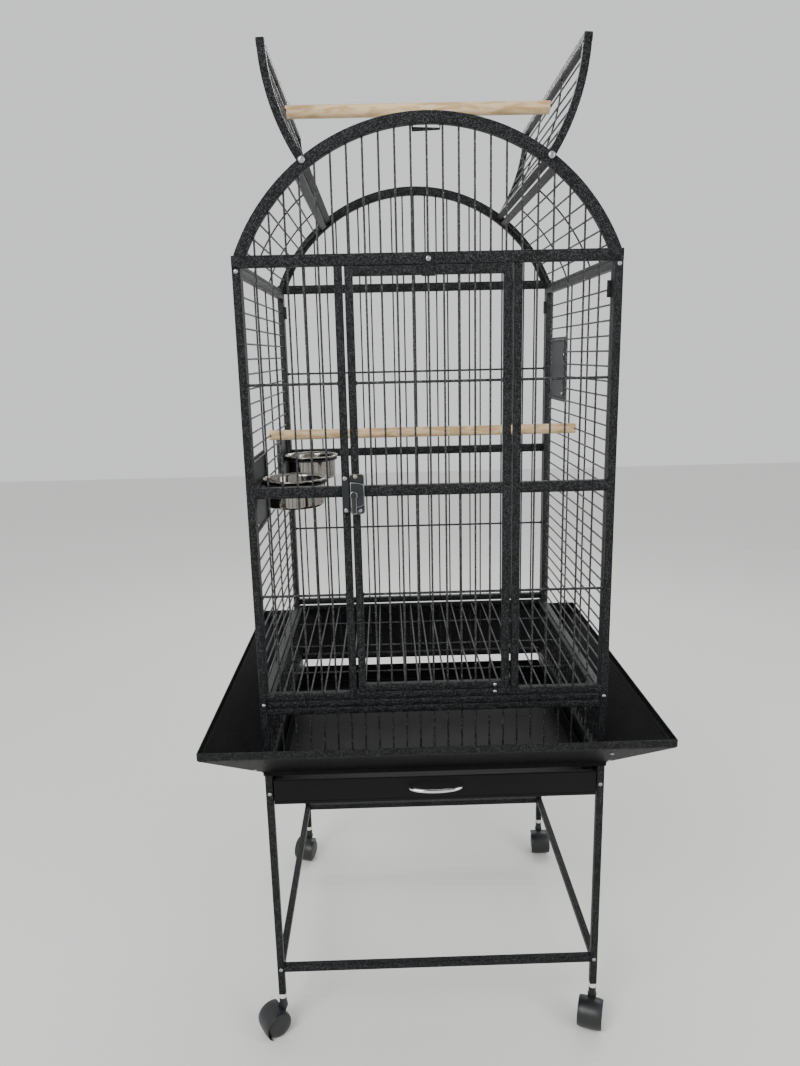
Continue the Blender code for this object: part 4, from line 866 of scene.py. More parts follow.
def corner_plate(mesh, x, y):
    bar(
        mesh, (x, y, CORNER_PLATE_HEIGHT - PLATE_HEIGHT / 2),
        (x, y, CORNER_PLATE_HEIGHT + PLATE_HEIGHT / 2),
        rounded(PLATE_WIDTH, PLATE_THICK, PLATE_ROUND),
    )


def level_wires(mesh, x, foot, edge, middles, top_wire):
    """Wires from front to back, which stop where a feeder opening is."""
    count = int((SIDE_TOP_WIRE - foot - ROD) / SIDE_WIRE_PITCH) + 1
    for step in range(count):
        stops = [-edge - ROD_BITE, edge + ROD_BITE]
        if top_wire < step < top_wire + FEEDER_WIRES:
            for middle in middles:
                stops += [middle - FEEDER_REACH, middle + FEEDER_REACH]
        stops.sort()
        for start, end in zip(stops[0::2], stops[1::2]):
            rod(mesh, (x, start, wire_height(step)), (x, end, wire_height(step)))
    return count


for word, side in SIDES.items():
    low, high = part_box(f"{word}_side_panel")
    metal, rods = bmesh.new(), bmesh.new()
    x = side * (half_width - tube / 2)
    end_y = high.y - tube / 2
    for place_word, end in ENDS.items():
        post(metal, x, end * end_y, low.z, high.z)
        if (word, place_word) in CORNER_PLATES:
            corner_plate(metal, x - side * (tube + PLATE_WIDTH) / 2, end * (end_y - tube / 4))
    for z in (low.z + tube / 2, high.z - tube / 2):
        bar(metal, (x, -end_y, z), (x, end_y, z), rounded(tube, tube - 2 * GAP), (1, 0, 0))
    middles, top_wire = FEEDERS[word]
    wires = level_wires(rods, x, low.z + tube, high.y - tube, middles, top_wire)
    top, foot = wire_height(top_wire) + ROD, wire_height(top_wire + FEEDER_WIRES) - ROD
    for middle in middles:
        for y in (middle - FEEDER_REACH, middle + FEEDER_REACH):
            rod(rods, (x, y, foot), (x, y, top), FEEDER_ROD, sides=10)
    outside = x + side * 2 * ROD
    for y in SIDE_UPRIGHTS:
        rod(rods, (outside, y, low.z + tube - ROD_BITE), (outside, y, high.z - tube + ROD_BITE))
    weldment(
        (f"{word}_side_tubes", f"{word}_side_wires"), (metal, rods), panel_paint, "cage",
        f"{word}_side_panel",
    )
print("wires on a side", wires)

# %% [markdown]
# The dome's fixed parts are curved grids between the arches: a low bar, a rail
# along the pivots, thin end bars, level rods and two bent wires outside them.

# %% Dome panels
PIVOT_INSET = 0.0044
PIVOT_RADIUS = arch_radius - PIVOT_INSET
PIVOT_ANGLE = math.radians(54.07)
WING_STEPS = 14
END_BAR, END_ROUND = 0.0042, 0.0006
DOME_BAR, DOME_ROUND = 0.006, 0.0008
CURVED_ROD = 0.0015
ALONG_Y = (0, 1, 0)
dome_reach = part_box("left_dome_panel")[1].y


def mirrored(points, side):
    return [(side * x, z) for x, z in points]


def long_rail(mesh, spot, lean, reach):
    """A square rail from front to back whose faces lie along a radius."""
    x, z = spot
    outline = [swung(corner, lean) for corner in rounded(tube, tube)]
    loft(mesh, [[(x + a, y, z + b) for a, b in outline] for y in (-reach, reach)])


def bent_wires(mesh, path):
    """Two wires outside the rods, a third of the depth from each arch."""
    for third in (-1, 1):
        sweep(mesh, in_plane(path, third * half_depth / 3), circle(CURVED_ROD, 8), ALONG_Y)


def dome_panel(word, side):
    """The fixed grid between the arches on one side."""
    metal, rods = bmesh.new(), bmesh.new()
    x = side * (half_width - tube / 2)
    bar_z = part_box(f"{word}_dome_panel")[0].z + DOME_BAR / 2
    start = math.asin((bar_z - ARCH_CENTRE) / arch_middle)
    rail_turn = PIVOT_ANGLE - (tube * (math.sqrt(2) + 1) / 2 + 2 * GAP) / arch_middle
    bar(
        metal, (x, -dome_reach, bar_z), (x, dome_reach, bar_z),
        rounded(tube - 3 * GAP, DOME_BAR, DOME_ROUND), (0, 0, 1),
    )
    spot, = mirrored([polar(centre, arch_middle, rail_turn)], side)
    long_rail(metal, spot, side * rail_turn, dome_reach)
    for end in ENDS.values():
        path = mirrored(arc(centre, arch_middle, start, rail_turn, WING_STEPS), side)
        path = in_plane(path, end * (dome_reach - END_BAR / 2 - GAP))
        sweep(metal, path, rounded(END_BAR, END_BAR, END_ROUND), ALONG_Y)
    length = arch_middle * (rail_turn - start) - tube / 2
    for step in range(1, int(length / ROD_PITCH) + 1):
        angle = start + step * ROD_PITCH / arch_middle
        (rx, rz), = mirrored([polar(centre, arch_middle, angle)], side)
        reach = dome_reach - END_BAR / 2
        rod(rods, (rx, -reach, rz), (rx, reach, rz))
    outer = arc(centre, arch_middle + ROD + CURVED_ROD, start, rail_turn, WING_STEPS)
    bent_wires(rods, mirrored(outer, side))
    weldment(
        (f"{word}_dome_frame", f"{word}_dome_wires"), (metal, rods), panel_paint, "cage",
        f"{word}_dome_panel",
    )


print("dome panels reach", round(dome_reach, 4), "m to the front and back")

# %% [markdown]
# A wing is a grid like the dome's, cut from its top and swung out about two
# pivot bolts. Building the wing closed and turning its points keeps the curve
# right, and its rods lie just above the tube's inner face.

# %% Play wings
WING_SPAN = math.radians(31.4)
WING_OPEN = math.radians(88.0)
WING_ROD_RISE = 0.0022
wing_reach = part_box("left_play_wing")[1].y
pivot = polar(centre, PIVOT_RADIUS, PIVOT_ANGLE)
end_angle = PIVOT_ANGLE + WING_SPAN
rod_radius = PIVOT_RADIUS - tube / 2 + WING_ROD_RISE


def opened(points):
    """Turns points of the closed wing out about its pivot."""
    made = []
    for x, z in points:
        a, b = swung((x - pivot[0], z - pivot[1]), -WING_OPEN)
        made.append((pivot[0] + a, pivot[1] + b))
    return made


def wing_line(radius, side):
    """The wing's curve at a radius, opened and on its own side."""
    return mirrored(opened(arc(centre, radius, PIVOT_ANGLE, end_angle, WING_STEPS)), side)


def play_wing(word, side):
    """One opened half of the dome's top, on its own body."""
    metal, rods = bmesh.new(), bmesh.new()
    for angle in (PIVOT_ANGLE, end_angle):
        spot, = mirrored(opened([polar(centre, PIVOT_RADIUS, angle)]), side)
        long_rail(metal, spot, side * (angle - WING_OPEN), wing_reach - GAP)
    for end in ENDS.values():
        path = in_plane(wing_line(PIVOT_RADIUS, side), end * (wing_reach - tube / 2))
        sweep(metal, path, rounded(tube - 2 * GAP, tube), ALONG_Y)
    for step in range(1, int(WING_SPAN * PIVOT_RADIUS / ROD_PITCH) + 1):
        angle = PIVOT_ANGLE + step * ROD_PITCH / PIVOT_RADIUS
        (rx, rz), = mirrored(opened([polar(centre, rod_radius, angle)]), side)
        reach = wing_reach - tube + ROD_BITE
        rod(rods, (rx, -reach, rz), (rx, reach, rz), ROD, sides=10)
    bent_wires(rods, wing_line(rod_radius + ROD + CURVED_ROD, side))
    weldment(
        (f"{word}_wing_frame", f"{word}_wing_wires"), (metal, rods), frame_paint,
        f"{word}_wing", f"{word}_play_wing",
    )


for word, side in SIDES.items():
    dome_panel(word, side)
    play_wing(word, side)
print("wing pivot", [round(value, 4) for value in pivot])

# %% [markdown]
# The front door is a frame of its own with rods in line with the panel's. It
# swings on two short pins near its right side, each with a collar that keeps the
# door off the rails.

# %% Front door
DOOR_TOP_RAIL = 0.015
PIN_REACH, PIN_RADIUS, PIN_COLLAR = 0.009, 0.0024, 0.0046
low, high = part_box("front_door")
door_low, door_high = low.z + PIN_REACH, high.z - PIN_REACH
metal, rods = bmesh.new(), bmesh.new()
stile_x, inner = high.x - tube / 2, high.x - tube
for side in SIDES.values():
    post(metal, side * stile_x, front_y, door_low, door_high)
rail(metal, -stile_x, stile_x, front_y, door_low + tube / 2 + GAP)
rail(metal, -stile_x, stile_x, front_y, door_high - DOOR_TOP_RAIL / 2 - GAP, DOOR_TOP_RAIL)
rail(metal, -stile_x, stile_x, front_y, MID_RAIL + RAIL / 2, RAIL)
welded_rods(
    rods, -inner, inner, front_y, door_low + tube - ROD_BITE,
    door_high - DOOR_TOP_RAIL + ROD_BITE, FRONT_CROSSES,
)
weldment(("door_tubes", "door_rods"), (metal, rods), frame_paint, "door", "front_door")

hinge_x, hinge_y, _ = joint_place["front_door_swing"]
pin_ends = ((-1, door_low, door_low - sill - tube), (1, door_high, top_rail - door_high))
mesh = bmesh.new()
for way, edge_z, gap in pin_ends:
    steps = (
        (0.0, -ROD_BITE), (PIN_COLLAR, -ROD_BITE), (PIN_COLLAR, gap - GAP),
        (PIN_RADIUS, gap - GAP), (PIN_RADIUS, PIN_REACH - GAP), (0.0, PIN_REACH - GAP),
    )
    profile = [(radius, edge_z + way * rise) for radius, rise in steps]
    turned(mesh, profile, upright(hinge_x, hinge_y), sides=24)
piece("door_hinge_pins", mesh, zinc, "door")
print("door", round(door_high - door_low, 3), "m tall")


# %% [markdown]
# Screws are seen all over: shallow domed heads with a cross slot on the latch and
# the corners, and larger ones at the wings' pivots. A boolean could cut the
# cross, but bridging a cross outline to the dome's open rim is lighter, and its
# walls slope in as a real punch leaves them.

# %% Screw heads
HEAD_PROFILE = (
    (0.0, 0.0), (1.0, 0.0), (1.0, 0.35), (0.9, 0.62), (0.7, 0.85), (0.5, 0.97),
)
HEAD_SIDES, HEAD_SHARP = 24, 40
HEAD_HEIGHT = 0.55
CROSS_SLOT, CROSS_REACH, CROSS_TAPER, CROSS_DEPTH = 0.12, 0.41, 0.8, 0.45


def cross_outline(radius):
    """The twelve corners of a cross, in order round its middle."""
    slot, reach = radius * CROSS_SLOT, radius * CROSS_REACH
    corners = []
    for quarter in range(4):
        for corner in ((slot, slot), (slot, reach), (-slot, reach)):
            corners.append(swung(corner, quarter * math.pi / 2))
    return sorted(corners, key=lambda spot: math.atan2(spot[1], spot[0]))


def around(mesh, ring):
    """The edges from each point of a ring to the next, where there are any."""
    edges = [mesh.edges.get(pair) for pair in zip(ring, ring[1:] + ring[:1])]
    return [edge for edge in edges if edge]


def screw(name, place, outward, radius, material, body, height=None, replaces=None):
    """A domed head with a cross recess, standing on a face."""
    height = height or radius * HEAD_HEIGHT
    matrix = facing(place, outward)
    to_head = matrix.inverted()
    mesh = bmesh.new()
    profile = [(radius * across, height * rise) for across, rise in HEAD_PROFILE]
    rim = turned(mesh, profile, matrix, HEAD_SIDES)[-1]
    rim.sort(key=lambda vert: math.atan2(*reversed((to_head @ vert.co)[:2])))
    corners = cross_outline(radius)
    top = [mesh.verts.new(matrix @ Vector((a, b, height))) for a, b in corners]
    deep = height - height * CROSS_DEPTH
    floor = [
        mesh.verts.new(matrix @ Vector((a * CROSS_TAPER, b * CROSS_TAPER, deep)))
        for a, b in corners
    ]
    for here in range(len(top)):
        after = (here + 1) % len(top)
        mesh.faces.new((top[here], top[after], floor[after], floor[here]))
    mesh.faces.new(floor)
    bmesh.ops.bridge_loops(mesh, edges=around(mesh, top) + around(mesh, rim))
    return piece(name, mesh, material, body, replaces, HEAD_SHARP)


STOP_SCREW_HEIGHT, STOP_SCREW = 1.3894, 0.0042
PIVOT_BOLT, PIVOT_BOLT_RISE = 0.0055, 0.003
plate_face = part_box("door_stop_plate")[0].y
dress("door_stop_plate", lip_paint)
screw(
    "stop_plate_screw", (0, plate_face, STOP_SCREW_HEIGHT), (0, -1, 0), STOP_SCREW,
    zinc, "door",
)
for word, side in SIDES.items():
    for place_word, end in ENDS.items():
        screw(
            f"pivot_bolt_{place_word}_{word}",
            (side * pivot[0], end * (half_depth + GAP), pivot[1]), (0, end, 0), PIVOT_BOLT,
            zinc, "cage", PIVOT_BOLT_RISE, f"wing_bolt_{place_word}_{word}",
        )
print("pivot bolts made")

# %% [markdown]
# Folded sheet metal has round bends, not sharp ones. A line of straight runs is
# given as the sheet's middle, its corners are rounded, and both faces are offset
# from it. A loft then makes one closed skin of two or more such outlines. Slots
# are cut afterwards with a boolean, whose result is kept as plain mesh.

# %% Sheet helpers
SHEET = 0.0015
CUTTER_ROUND = 0.0002


def bent(points, radius=0.0022, steps=4):
    """A line whose corners are rounded, from a radius before each to a radius after."""
    points = [Vector((*point, 0.0)) for point in points]
    made = [points[0]]
    for before, corner, after in zip(points, points[1:], points[2:]):
        start = corner + (before - corner).normalized() * radius
        end = corner + (after - corner).normalized() * radius
        for step in range(steps + 1):
            share = step / steps
            made.append(start.lerp(corner, share).lerp(corner.lerp(end, share), share))
    made.append(points[-1])
    return [(point.x, point.y) for point in made]


def thickened(line, thickness=SHEET):
    """The outline of a sheet: one face along the line and back along the other."""
    points = [Vector(point) for point in line]
    faces = []
    for step, point in enumerate(points):
        before = (point - points[max(step - 1, 0)]).normalized()
        after = (points[min(step + 1, len(points) - 1)] - point).normalized()
        along = (before + after).normalized()
        widen = 1.0 / max(SHARPEST_BEND, along.dot(after if after.length else before))
        faces.append(Vector((-along.y, along.x)) * (thickness / 2 * widen))
    left = [tuple(point + face) for point, face in zip(points, faces)]
    right = [tuple(point - face) for point, face in zip(points, faces)]
    return left + right[::-1]


def cut_away(made, low, high):
    """Cuts a box out of a finished piece and keeps its material and round shading."""
    mesh = bmesh.new()
    tube_in_box(mesh, low, high, CUTTER_ROUND)
    cutter = mesh_object("cutter", mesh)
    step = made.modifiers.new("cut", "BOOLEAN")
    step.operation = "DIFFERENCE"
    step.object = cutter
    step.use_self = True
    seen = made.evaluated_get(bpy.context.evaluated_depsgraph_get())
    result = bpy.data.meshes.new_from_object(seen)
    made.modifiers.clear()
    made.data = result
    shade(result)
    bpy.data.objects.remove(cutter)


print("sheet helpers ready")

# %% [markdown]
# The stand has four legs of the same tube. White plastic collars close their
# feet, and the casters' stems turn in them.

# %% Legs and collars
LEG_FOOT = 0.078
COLLAR_BORE, COLLAR_RADIUS, COLLAR_EDGE = 0.0048, 0.0075, 0.0007
for place_word, end in ENDS.items():
    for word, side in SIDES.items():
        corner = f"{place_word}_{word}"
        low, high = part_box(f"stand_leg_{corner}")
        x, y = side * (half_width - tube / 2), end * (half_depth - tube / 2)
        mesh = bmesh.new()
        post(mesh, x, y, LEG_FOOT, high.z)
        piece(f"leg_{corner}", mesh, frame_paint, "cage", f"stand_leg_{corner}")
        mesh = bmesh.new()
        turned(mesh, [
            (COLLAR_BORE, low.z), (COLLAR_RADIUS - COLLAR_EDGE, low.z),
            (COLLAR_RADIUS, low.z + COLLAR_EDGE), (COLLAR_RADIUS, LEG_FOOT - COLLAR_EDGE),
            (COLLAR_RADIUS - COLLAR_EDGE, LEG_FOOT - GAP / 2),
            (COLLAR_BORE, LEG_FOOT - GAP / 2),
        ], upright(x, y), sides=32)
        piece(f"leg_collar_{corner}", mesh, collar_plastic, "cage")
print("legs made")

# %% [markdown]
# A barred frame stands between each two legs under the cage, and a rail joins
# them low down on every side. The frames' rods share the pitch of the panels.

# %% Stand frames and low rails
for word in (*ENDS, *SIDES):
    mesh = bmesh.new()
    tube_in_box(mesh, *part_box(f"low_rail_{word}"))
    piece(f"low_tube_{word}", mesh, frame_paint, "cage", f"low_rail_{word}")

    low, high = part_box(f"stand_frame_{word}")
    metal, rods = bmesh.new(), bmesh.new()
    tube_in_box(metal, low, (high.x, high.y, low.z + tube))
    tube_in_box(metal, (low.x, low.y, high.z - tube), high)
    middle = (low + high) / 2
    along_x = word in ENDS
    for spot in columns(low.x if along_x else low.y, high.x if along_x else high.y):
        x, y = (spot, middle.y) if along_x else (middle.x, spot)
        rod(rods, (x, y, low.z + tube - ROD_BITE), (x, y, high.z - tube + ROD_BITE))
    weldment(
        (f"stand_{word}_tubes", f"stand_{word}_rods"), (metal, rods), frame_paint, "cage",
        f"stand_frame_{word}",
    )
print("stand frames made")

# %% [markdown]
# The drawer slides on two ledges of folded sheet, hidden inside the stand. Each
# is an angle: a level foot under the drawer and an upright against the frame.

# %% Drawer ledges
for word, side in SIDES.items():
    low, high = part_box(f"drawer_runner_{word}")
    outer = (low.x if side < 0 else high.x) - side * SHEET / 2
    inner = high.x if side < 0 else low.x
    foot = low.z + SHEET / 2
    outline = thickened(bent([(inner, foot), (outer, foot), (outer, high.z)]))
    mesh = bmesh.new()
    loft(mesh, [in_plane(outline, y) for y in (low.y, high.y)])
    piece(f"runner_{word}", mesh, tray_paint, "cage", f"drawer_runner_{word}")
print("ledges made")

# %% [markdown]
# Four sloped sheets catch the seed that birds throw. Each is one sheet with a
# short flange on the frame and an upright lip outside, and its ends are cut so
# that the four meet on the corners' mitres. The slopes carry a darker copy of the
# paint, which is painted shade, and the lips' faces carry a second, lighter copy.

# %% Seed guards
GUARD_FLANGE, GUARD_LIP, GUARD_BEND = 0.0075, 0.013, 0.003
GUARD_SCREW, GUARD_SCREW_RISE = 0.0034, 0.0016
GUARD_SCREWS = ((-0.3120, 0.22), (0.2935, 0.66), (0.3030, 0.14))
for word in (*ENDS, *SIDES):
    low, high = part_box(f"seed_guard_{word}")
    along_x = word in ENDS
    way = ENDS[word] if along_x else SIDES[word]
    own, along = (half_depth, half_width) if along_x else (half_width, half_depth)
    outermost = max(abs(low.y), abs(high.y)) if along_x else max(abs(low.x), abs(high.x))
    start, reach = GAP + SHEET / 2, outermost - own - SHEET / 2
    outline = thickened(bent([
        (start, low.z), (start, low.z + GUARD_FLANGE), (reach, high.z - GUARD_LIP),
        (reach, high.z),
    ], GUARD_BEND))
    rings = []
    for end in (-1, 1):
        ring = [(end * (along + out - GAP), way * (own + out), z) for out, z in outline]
        rings.append(ring if along_x else [(off, run, z) for run, off, z in ring])
    mesh = bmesh.new()
    loft(mesh, rings)
    made = piece(f"guard_{word}", mesh, guard_shade_paint, "cage", f"seed_guard_{word}")
    # The lips take the lighter paint, and the slopes keep the darker one, which is painted
    # shade.
    verts, lip_foot = made.data.vertices, high.z - GUARD_LIP - SHEET
    second_finish(
        made, lip_paint,
        lambda face: min(verts[vert].co.z for vert in face.vertices) > lip_foot,
    )

low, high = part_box("seed_guard_front")
slope_start = Vector((-half_depth - GAP - SHEET / 2, low.z + GUARD_FLANGE))
slope_end = Vector((low.y + SHEET / 2, high.z - GUARD_LIP))
slope_out = Vector((0, slope_start.y - slope_end.y, slope_end.x - slope_start.x)).normalized()
for step, (x, share) in enumerate(GUARD_SCREWS):
    y, z = slope_start.lerp(slope_end, share)
    screw(
        f"guard_screw_{step + 1}", Vector((x, y, z)) + slope_out * SHEET / 2, slope_out,
        GUARD_SCREW, zinc, "cage", GUARD_SCREW_RISE,
    )
print("guards reach", round(reach, 4), "m out")

# %% [markdown]
# The grate slides out at the front through the slot under the sill. It is a flat
# frame of bars with rods from front to back, resting on three cross rods.

# %% Floor grate
GRATE_BAR = 0.008
low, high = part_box("floor_grate")
metal, rods = bmesh.new(), bmesh.new()
west, east = low.x + GRATE_BAR / 2, high.x - GRATE_BAR / 2
for x in (low.x, high.x - GRATE_BAR):
    tube_in_box(metal, (x, low.y, low.z), (x + GRATE_BAR, high.y, high.z))
for y in (low.y, high.y - GRATE_BAR):
    tube_in_box(metal, (west, y, low.z), (east, y + GRATE_BAR, high.z))
upper = high.z - ROD - 2 * GAP
for x in columns(low.x + GRATE_BAR, high.x - GRATE_BAR):
    rod(rods, (x, low.y + GRATE_BAR / 2, upper), (x, high.y - GRATE_BAR / 2, upper))
lower = upper - 2 * ROD
for quarter in (-1, 0, 1):
    y = quarter * half_depth / 2
    rod(rods, (west, y, lower), (east, y, lower))
weldment(("grate_bars", "grate_rods"), (metal, rods), frame_paint, "grate", "floor_grate")
print("grate", round(high.x - low.x, 3), "by", round(high.y - low.y, 3))

# %% [markdown]
# The drawer is a folded tray with a taller front plate. The tray is lofted
# through rings that go up its outside, over its rim and down its inside. The
# plate's top edge is folded back, and its foot has a flat hem.

# %% Drawer
TRAY_HEIGHT = 0.041
TRAY_ROUND, LEAST_ROUND = 0.004, 0.001
HEM, HEM_ROUND = 0.0052, 0.0006
PLATE_FOLD = 0.006
low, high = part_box("drawer_pan")
front_face = low.y + SHEET
tray_top = low.z + TRAY_HEIGHT
tray_middle = ((low.x + high.x) / 2, (front_face + high.y) / 2)


def tray_ring(inset, z):
    width = high.x - low.x - 2 * SHEET - 2 * inset
    depth = high.y - front_face - 2 * inset
    outline = rounded(width, depth, max(LEAST_ROUND, TRAY_ROUND - inset), 4)
    return [(tray_middle[0] + a, tray_middle[1] + b, z) for a, b in outline]


mesh = bmesh.new()
edge = SHEET / 3
loft(mesh, [
    tray_ring(edge * 2, low.z), tray_ring(0, low.z + edge * 2), tray_ring(0, tray_top - edge),
    tray_ring(edge, tray_top), tray_ring(SHEET - edge, tray_top),
    tray_ring(SHEET, tray_top - edge), tray_ring(SHEET, low.z + SHEET + edge * 2),
    tray_ring(SHEET + edge * 2, low.z + SHEET),
])
plate_y, fold_z = low.y + SHEET / 2, high.z - SHEET / 2
plate = thickened(bent([(plate_y, low.z), (plate_y, fold_z), (low.y + PLATE_FOLD, fold_z)]))
loft(mesh, [[(x, y, z) for y, z in plate] for x in (low.x, high.x)])
tube_in_box(
    mesh, (low.x, low.y - SHEET / 2, low.z), (high.x, low.y + SHEET / 2, low.z + HEM), HEM_ROUND
)
piece("drawer_sheet", mesh, tray_paint, "drawer", "drawer_pan")
print("tray", round(high.x - low.x, 3), "by", round(high.y - front_face, 3), "m")

# %% [markdown]
# A chrome bow handle hangs on the drawer's front. It is one bent rod: it leaves
# the plate straight, bows out and sags a little in the middle.

# %% Drawer handle
HANDLE_RADIUS = 0.0032
HANDLE_FOOT = 0.006
HANDLE_STEPS = 32
bow_low, bow_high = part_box("drawer_handle")
foot_height = bow_high.z - HANDLE_RADIUS
sag = bow_high.z - bow_low.z - 2 * HANDLE_RADIUS
half_bow = (bow_high.x - bow_low.x) / 2 - HANDLE_RADIUS
reach = low.y - bow_low.y - HANDLE_RADIUS
path = [(-half_bow, low.y, foot_height)]
for step in range(HANDLE_STEPS + 1):
    turn = math.pi * step / HANDLE_STEPS
    out = HANDLE_FOOT + (reach - HANDLE_FOOT) * math.sin(turn)
    drop = sag * math.sin(turn) ** 2
    path.append((-half_bow * math.cos(turn), low.y - out, foot_height - drop))
path.append((half_bow, low.y, foot_height))
mesh = bmesh.new()
sweep(mesh, path, circle(HANDLE_RADIUS, 16), (0, 0, 1))
piece("handle_bow", mesh, chrome, "drawer", "drawer_handle")
print("handle", round(2 * half_bow, 3), "m between its feet")

# %% [markdown]
# The latch is a small cast box on the door's stile: a base plate and a raised
# cover with a round right side. Both are plates whose front rim is rounded, and
# the bolt's channel is cut through them. The rims get a second, brighter finish:
# a painted highlight where their edges catch the light.

# %% Latch case and bolt
LATCH_BASE = 0.005
BASE_ROUND, COVER_ROUND, RIM_ROUND = 0.005, 0.0012, 0.0008
COVER_TOP, COVER_FOOT, COVER_SHOULDER = 0.0205, 0.0215, 0.0145
COVER_LEFT_INSET, COVER_RIGHT_INSET = 0.0012, 0.0006
COVER_STEPS, COVER_FULLNESS = 8, 0.8
BOLT_EDGE, KEEPER_EDGE = 0.0003, 0.0011
RIM_SLOPE = (0.12, 0.985)


def plate_ring(outline, inset, y):
    """An outline in the XZ plane, drawn in towards its middle by an inset."""
    cx = sum(x for x, z in outline) / len(outline)
    cz = sum(z for x, z in outline) / len(outline)
    x_share = 1 - inset / max(abs(x - cx) for x, z in outline)
    z_share = 1 - inset / max(abs(z - cz) for x, z in outline)
    return [(cx + (x - cx) * x_share, y, cz + (z - cz) * z_share) for x, z in outline]


def raised(mesh, outline, base, top, edge=RIM_ROUND):
    """A plate that stands forward from one depth to another, with a round front rim."""
    loft(mesh, [
        plate_ring(outline, 0, base), plate_ring(outline, 0, top + edge),
        plate_ring(outline, edge * 0.3, top + edge * 0.3), plate_ring(outline, edge, top),
    ])


def rim_highlights(made):
    """Paints a highlight on the rounded front rims of a plate, as a second, brighter finish."""
    least, most = RIM_SLOPE
    second_finish(made, latch_rim_highlight, lambda face: least < abs(face.normal.y) < most)


low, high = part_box("latch_body")
face = high.y
middle = (low + high) / 2
mesh = bmesh.new()
base_outline = [
    (middle.x + a, middle.z + b)
    for a, b in rounded(high.x - low.x, high.z - low.z, BASE_ROUND, 6)
]
raised(mesh, base_outline, face, face - LATCH_BASE)
left, right = low.x + COVER_LEFT_INSET, high.x - COVER_RIGHT_INSET
cover = []
for way, tall in ((-1, COVER_FOOT), (1, COVER_TOP)):
    for step in range(COVER_STEPS + 1):
        share = step / COVER_STEPS
        turn = math.radians(90) * (share if way < 0 else 1 - share)
        x = left + (right - left) * math.sin(turn) ** COVER_FULLNESS
        rise = COVER_SHOULDER + (tall - COVER_SHOULDER) * math.cos(turn)
        cover.append((x, middle.z + way * rise))
raised(mesh, cover, face - LATCH_BASE + GAP, low.y, COVER_ROUND)
latch = piece("latch_case", mesh, latch_gloss, "door", "latch_body")
bolt_low, bolt_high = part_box("latch_bolt")
cut_away(
    latch, (low.x - tube, bolt_low.y - GAP, bolt_low.z - GAP),
    (bolt_high.x + GAP, bolt_high.y + GAP, bolt_high.z + GAP),
)
rim_highlights(latch)
dress("latch_bolt", zinc, BOLT_EDGE)
keeper = dress("latch_keeper", latch_gloss, KEEPER_EDGE)
# The keeper's soft edges get the brighter rim finish too: a painted highlight.
keeper.data.materials.append(latch_rim_highlight)
keeper.modifiers["soft_edges"].material = 1
print("latch case", round(high.z - low.z, 4), "m tall")

# %% [markdown]
# The lever hangs from a round boss. Its outline is the boss's circle, open below
# where the arm leaves it, and the arm's two rounded corners. Four small screws
# hold the case and the keeper, and one of them is yellow.

# %% Latch lever and screws
LEVER_WIDTH = 0.009
LEVER_ROUND = 0.0016
BOSS_STEPS = 28
TIP = 0.002
LATCH_SCREW = 0.0036
KEEPER_SCREWS = ((-0.1394, 1.0556, zinc), (-0.1386, 1.0036, zinc))
BODY_SCREWS = ((-0.1228, 1.0575, brass), (-0.1163, 1.0024, zinc))
low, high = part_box("latch_lever")
boss_x, _, boss_z = joint_place["latch_lever_turn"]
boss = boss_x - low.x
neck = math.asin(LEVER_WIDTH / 2 / boss)
outline = arc(
    (boss_x, boss_z), boss, neck - math.pi / 2, 1.5 * math.pi - neck, BOSS_STEPS
)
for way, turns in ((-1, (180, 210, 240, 270)), (1, (270, 300, 330, 360))):
    tip_middle = (boss_x + way * (LEVER_WIDTH / 2 - TIP), low.z + TIP)
    outline += [polar(tip_middle, TIP, math.radians(turn)) for turn in turns]
mesh = bmesh.new()
raised(mesh, outline, high.y, low.y, LEVER_ROUND)
rim_highlights(piece("latch_lever_arm", mesh, latch_gloss, "lever", "latch_lever"))
latch_screws = (
    ("keeper", KEEPER_SCREWS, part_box("latch_keeper")[0].y, "cage"),
    ("body", BODY_SCREWS, face - LATCH_BASE, "door"),
)
for label, places, shown, body in latch_screws:
    for step, (x, z, metal) in enumerate(places):
        name = f"latch_screw_{label}_{step + 1}"
        screw(name, (x, shown, z), (0, -1, 0), LATCH_SCREW, metal, body)
print("lever boss", round(boss, 4), "m in radius")

# %% [markdown]
# A feeder door is a light sheet with a lip turned out along its foot. Two tabs
# carry rolled knuckles round the rod that it swings on. A slot that widens at its
# foot is cut near its top, and a small bolt goes through it lower down. The slot
# is two boxes taken out one after the other, which is simpler than its outline.

# %% Feeder doors
PLATE = 0.0012
PLATE_BEND = 0.0018
PLATE_EDGE = 0.0052
KNUCKLE, KNUCKLE_WALL, TAB_ROUND = 0.010, 0.0013, 0.0003
SLOT_INSET = 0.022
SLOTS = ((0.0045, 0.0, 0.012), (0.0095, 0.0115, 0.0165))
BOLT_RISE = 0.0175
FEEDER_BOLT, BOLT_OUTSIDE, BOLT_INSIDE = 0.0038, 0.002, 0.005
FEEDER_DOORS = {"left_front": "left", "left_back": "left", "right_back": "right"}
bore = FEEDER_ROD + 2 * GAP


def knuckle(mesh, sheet_x, axis_x, axis_y, height):
    """A tab on the sheet and the tube rolled from it round the rod."""
    foot, top = height - KNUCKLE / 2, height + KNUCKLE / 2
    tube_in_box(
        mesh, (sheet_x - PLATE / 2, axis_y, foot),
        (sheet_x + PLATE / 2, axis_y + 2 * PLATE_EDGE, top), TAB_ROUND,
    )
    outer = bore + KNUCKLE_WALL
    profile = [(bore, foot), (outer, foot), (outer, top), (bore, top)]
    turned(mesh, profile, upright(axis_x, axis_y), sides=24)


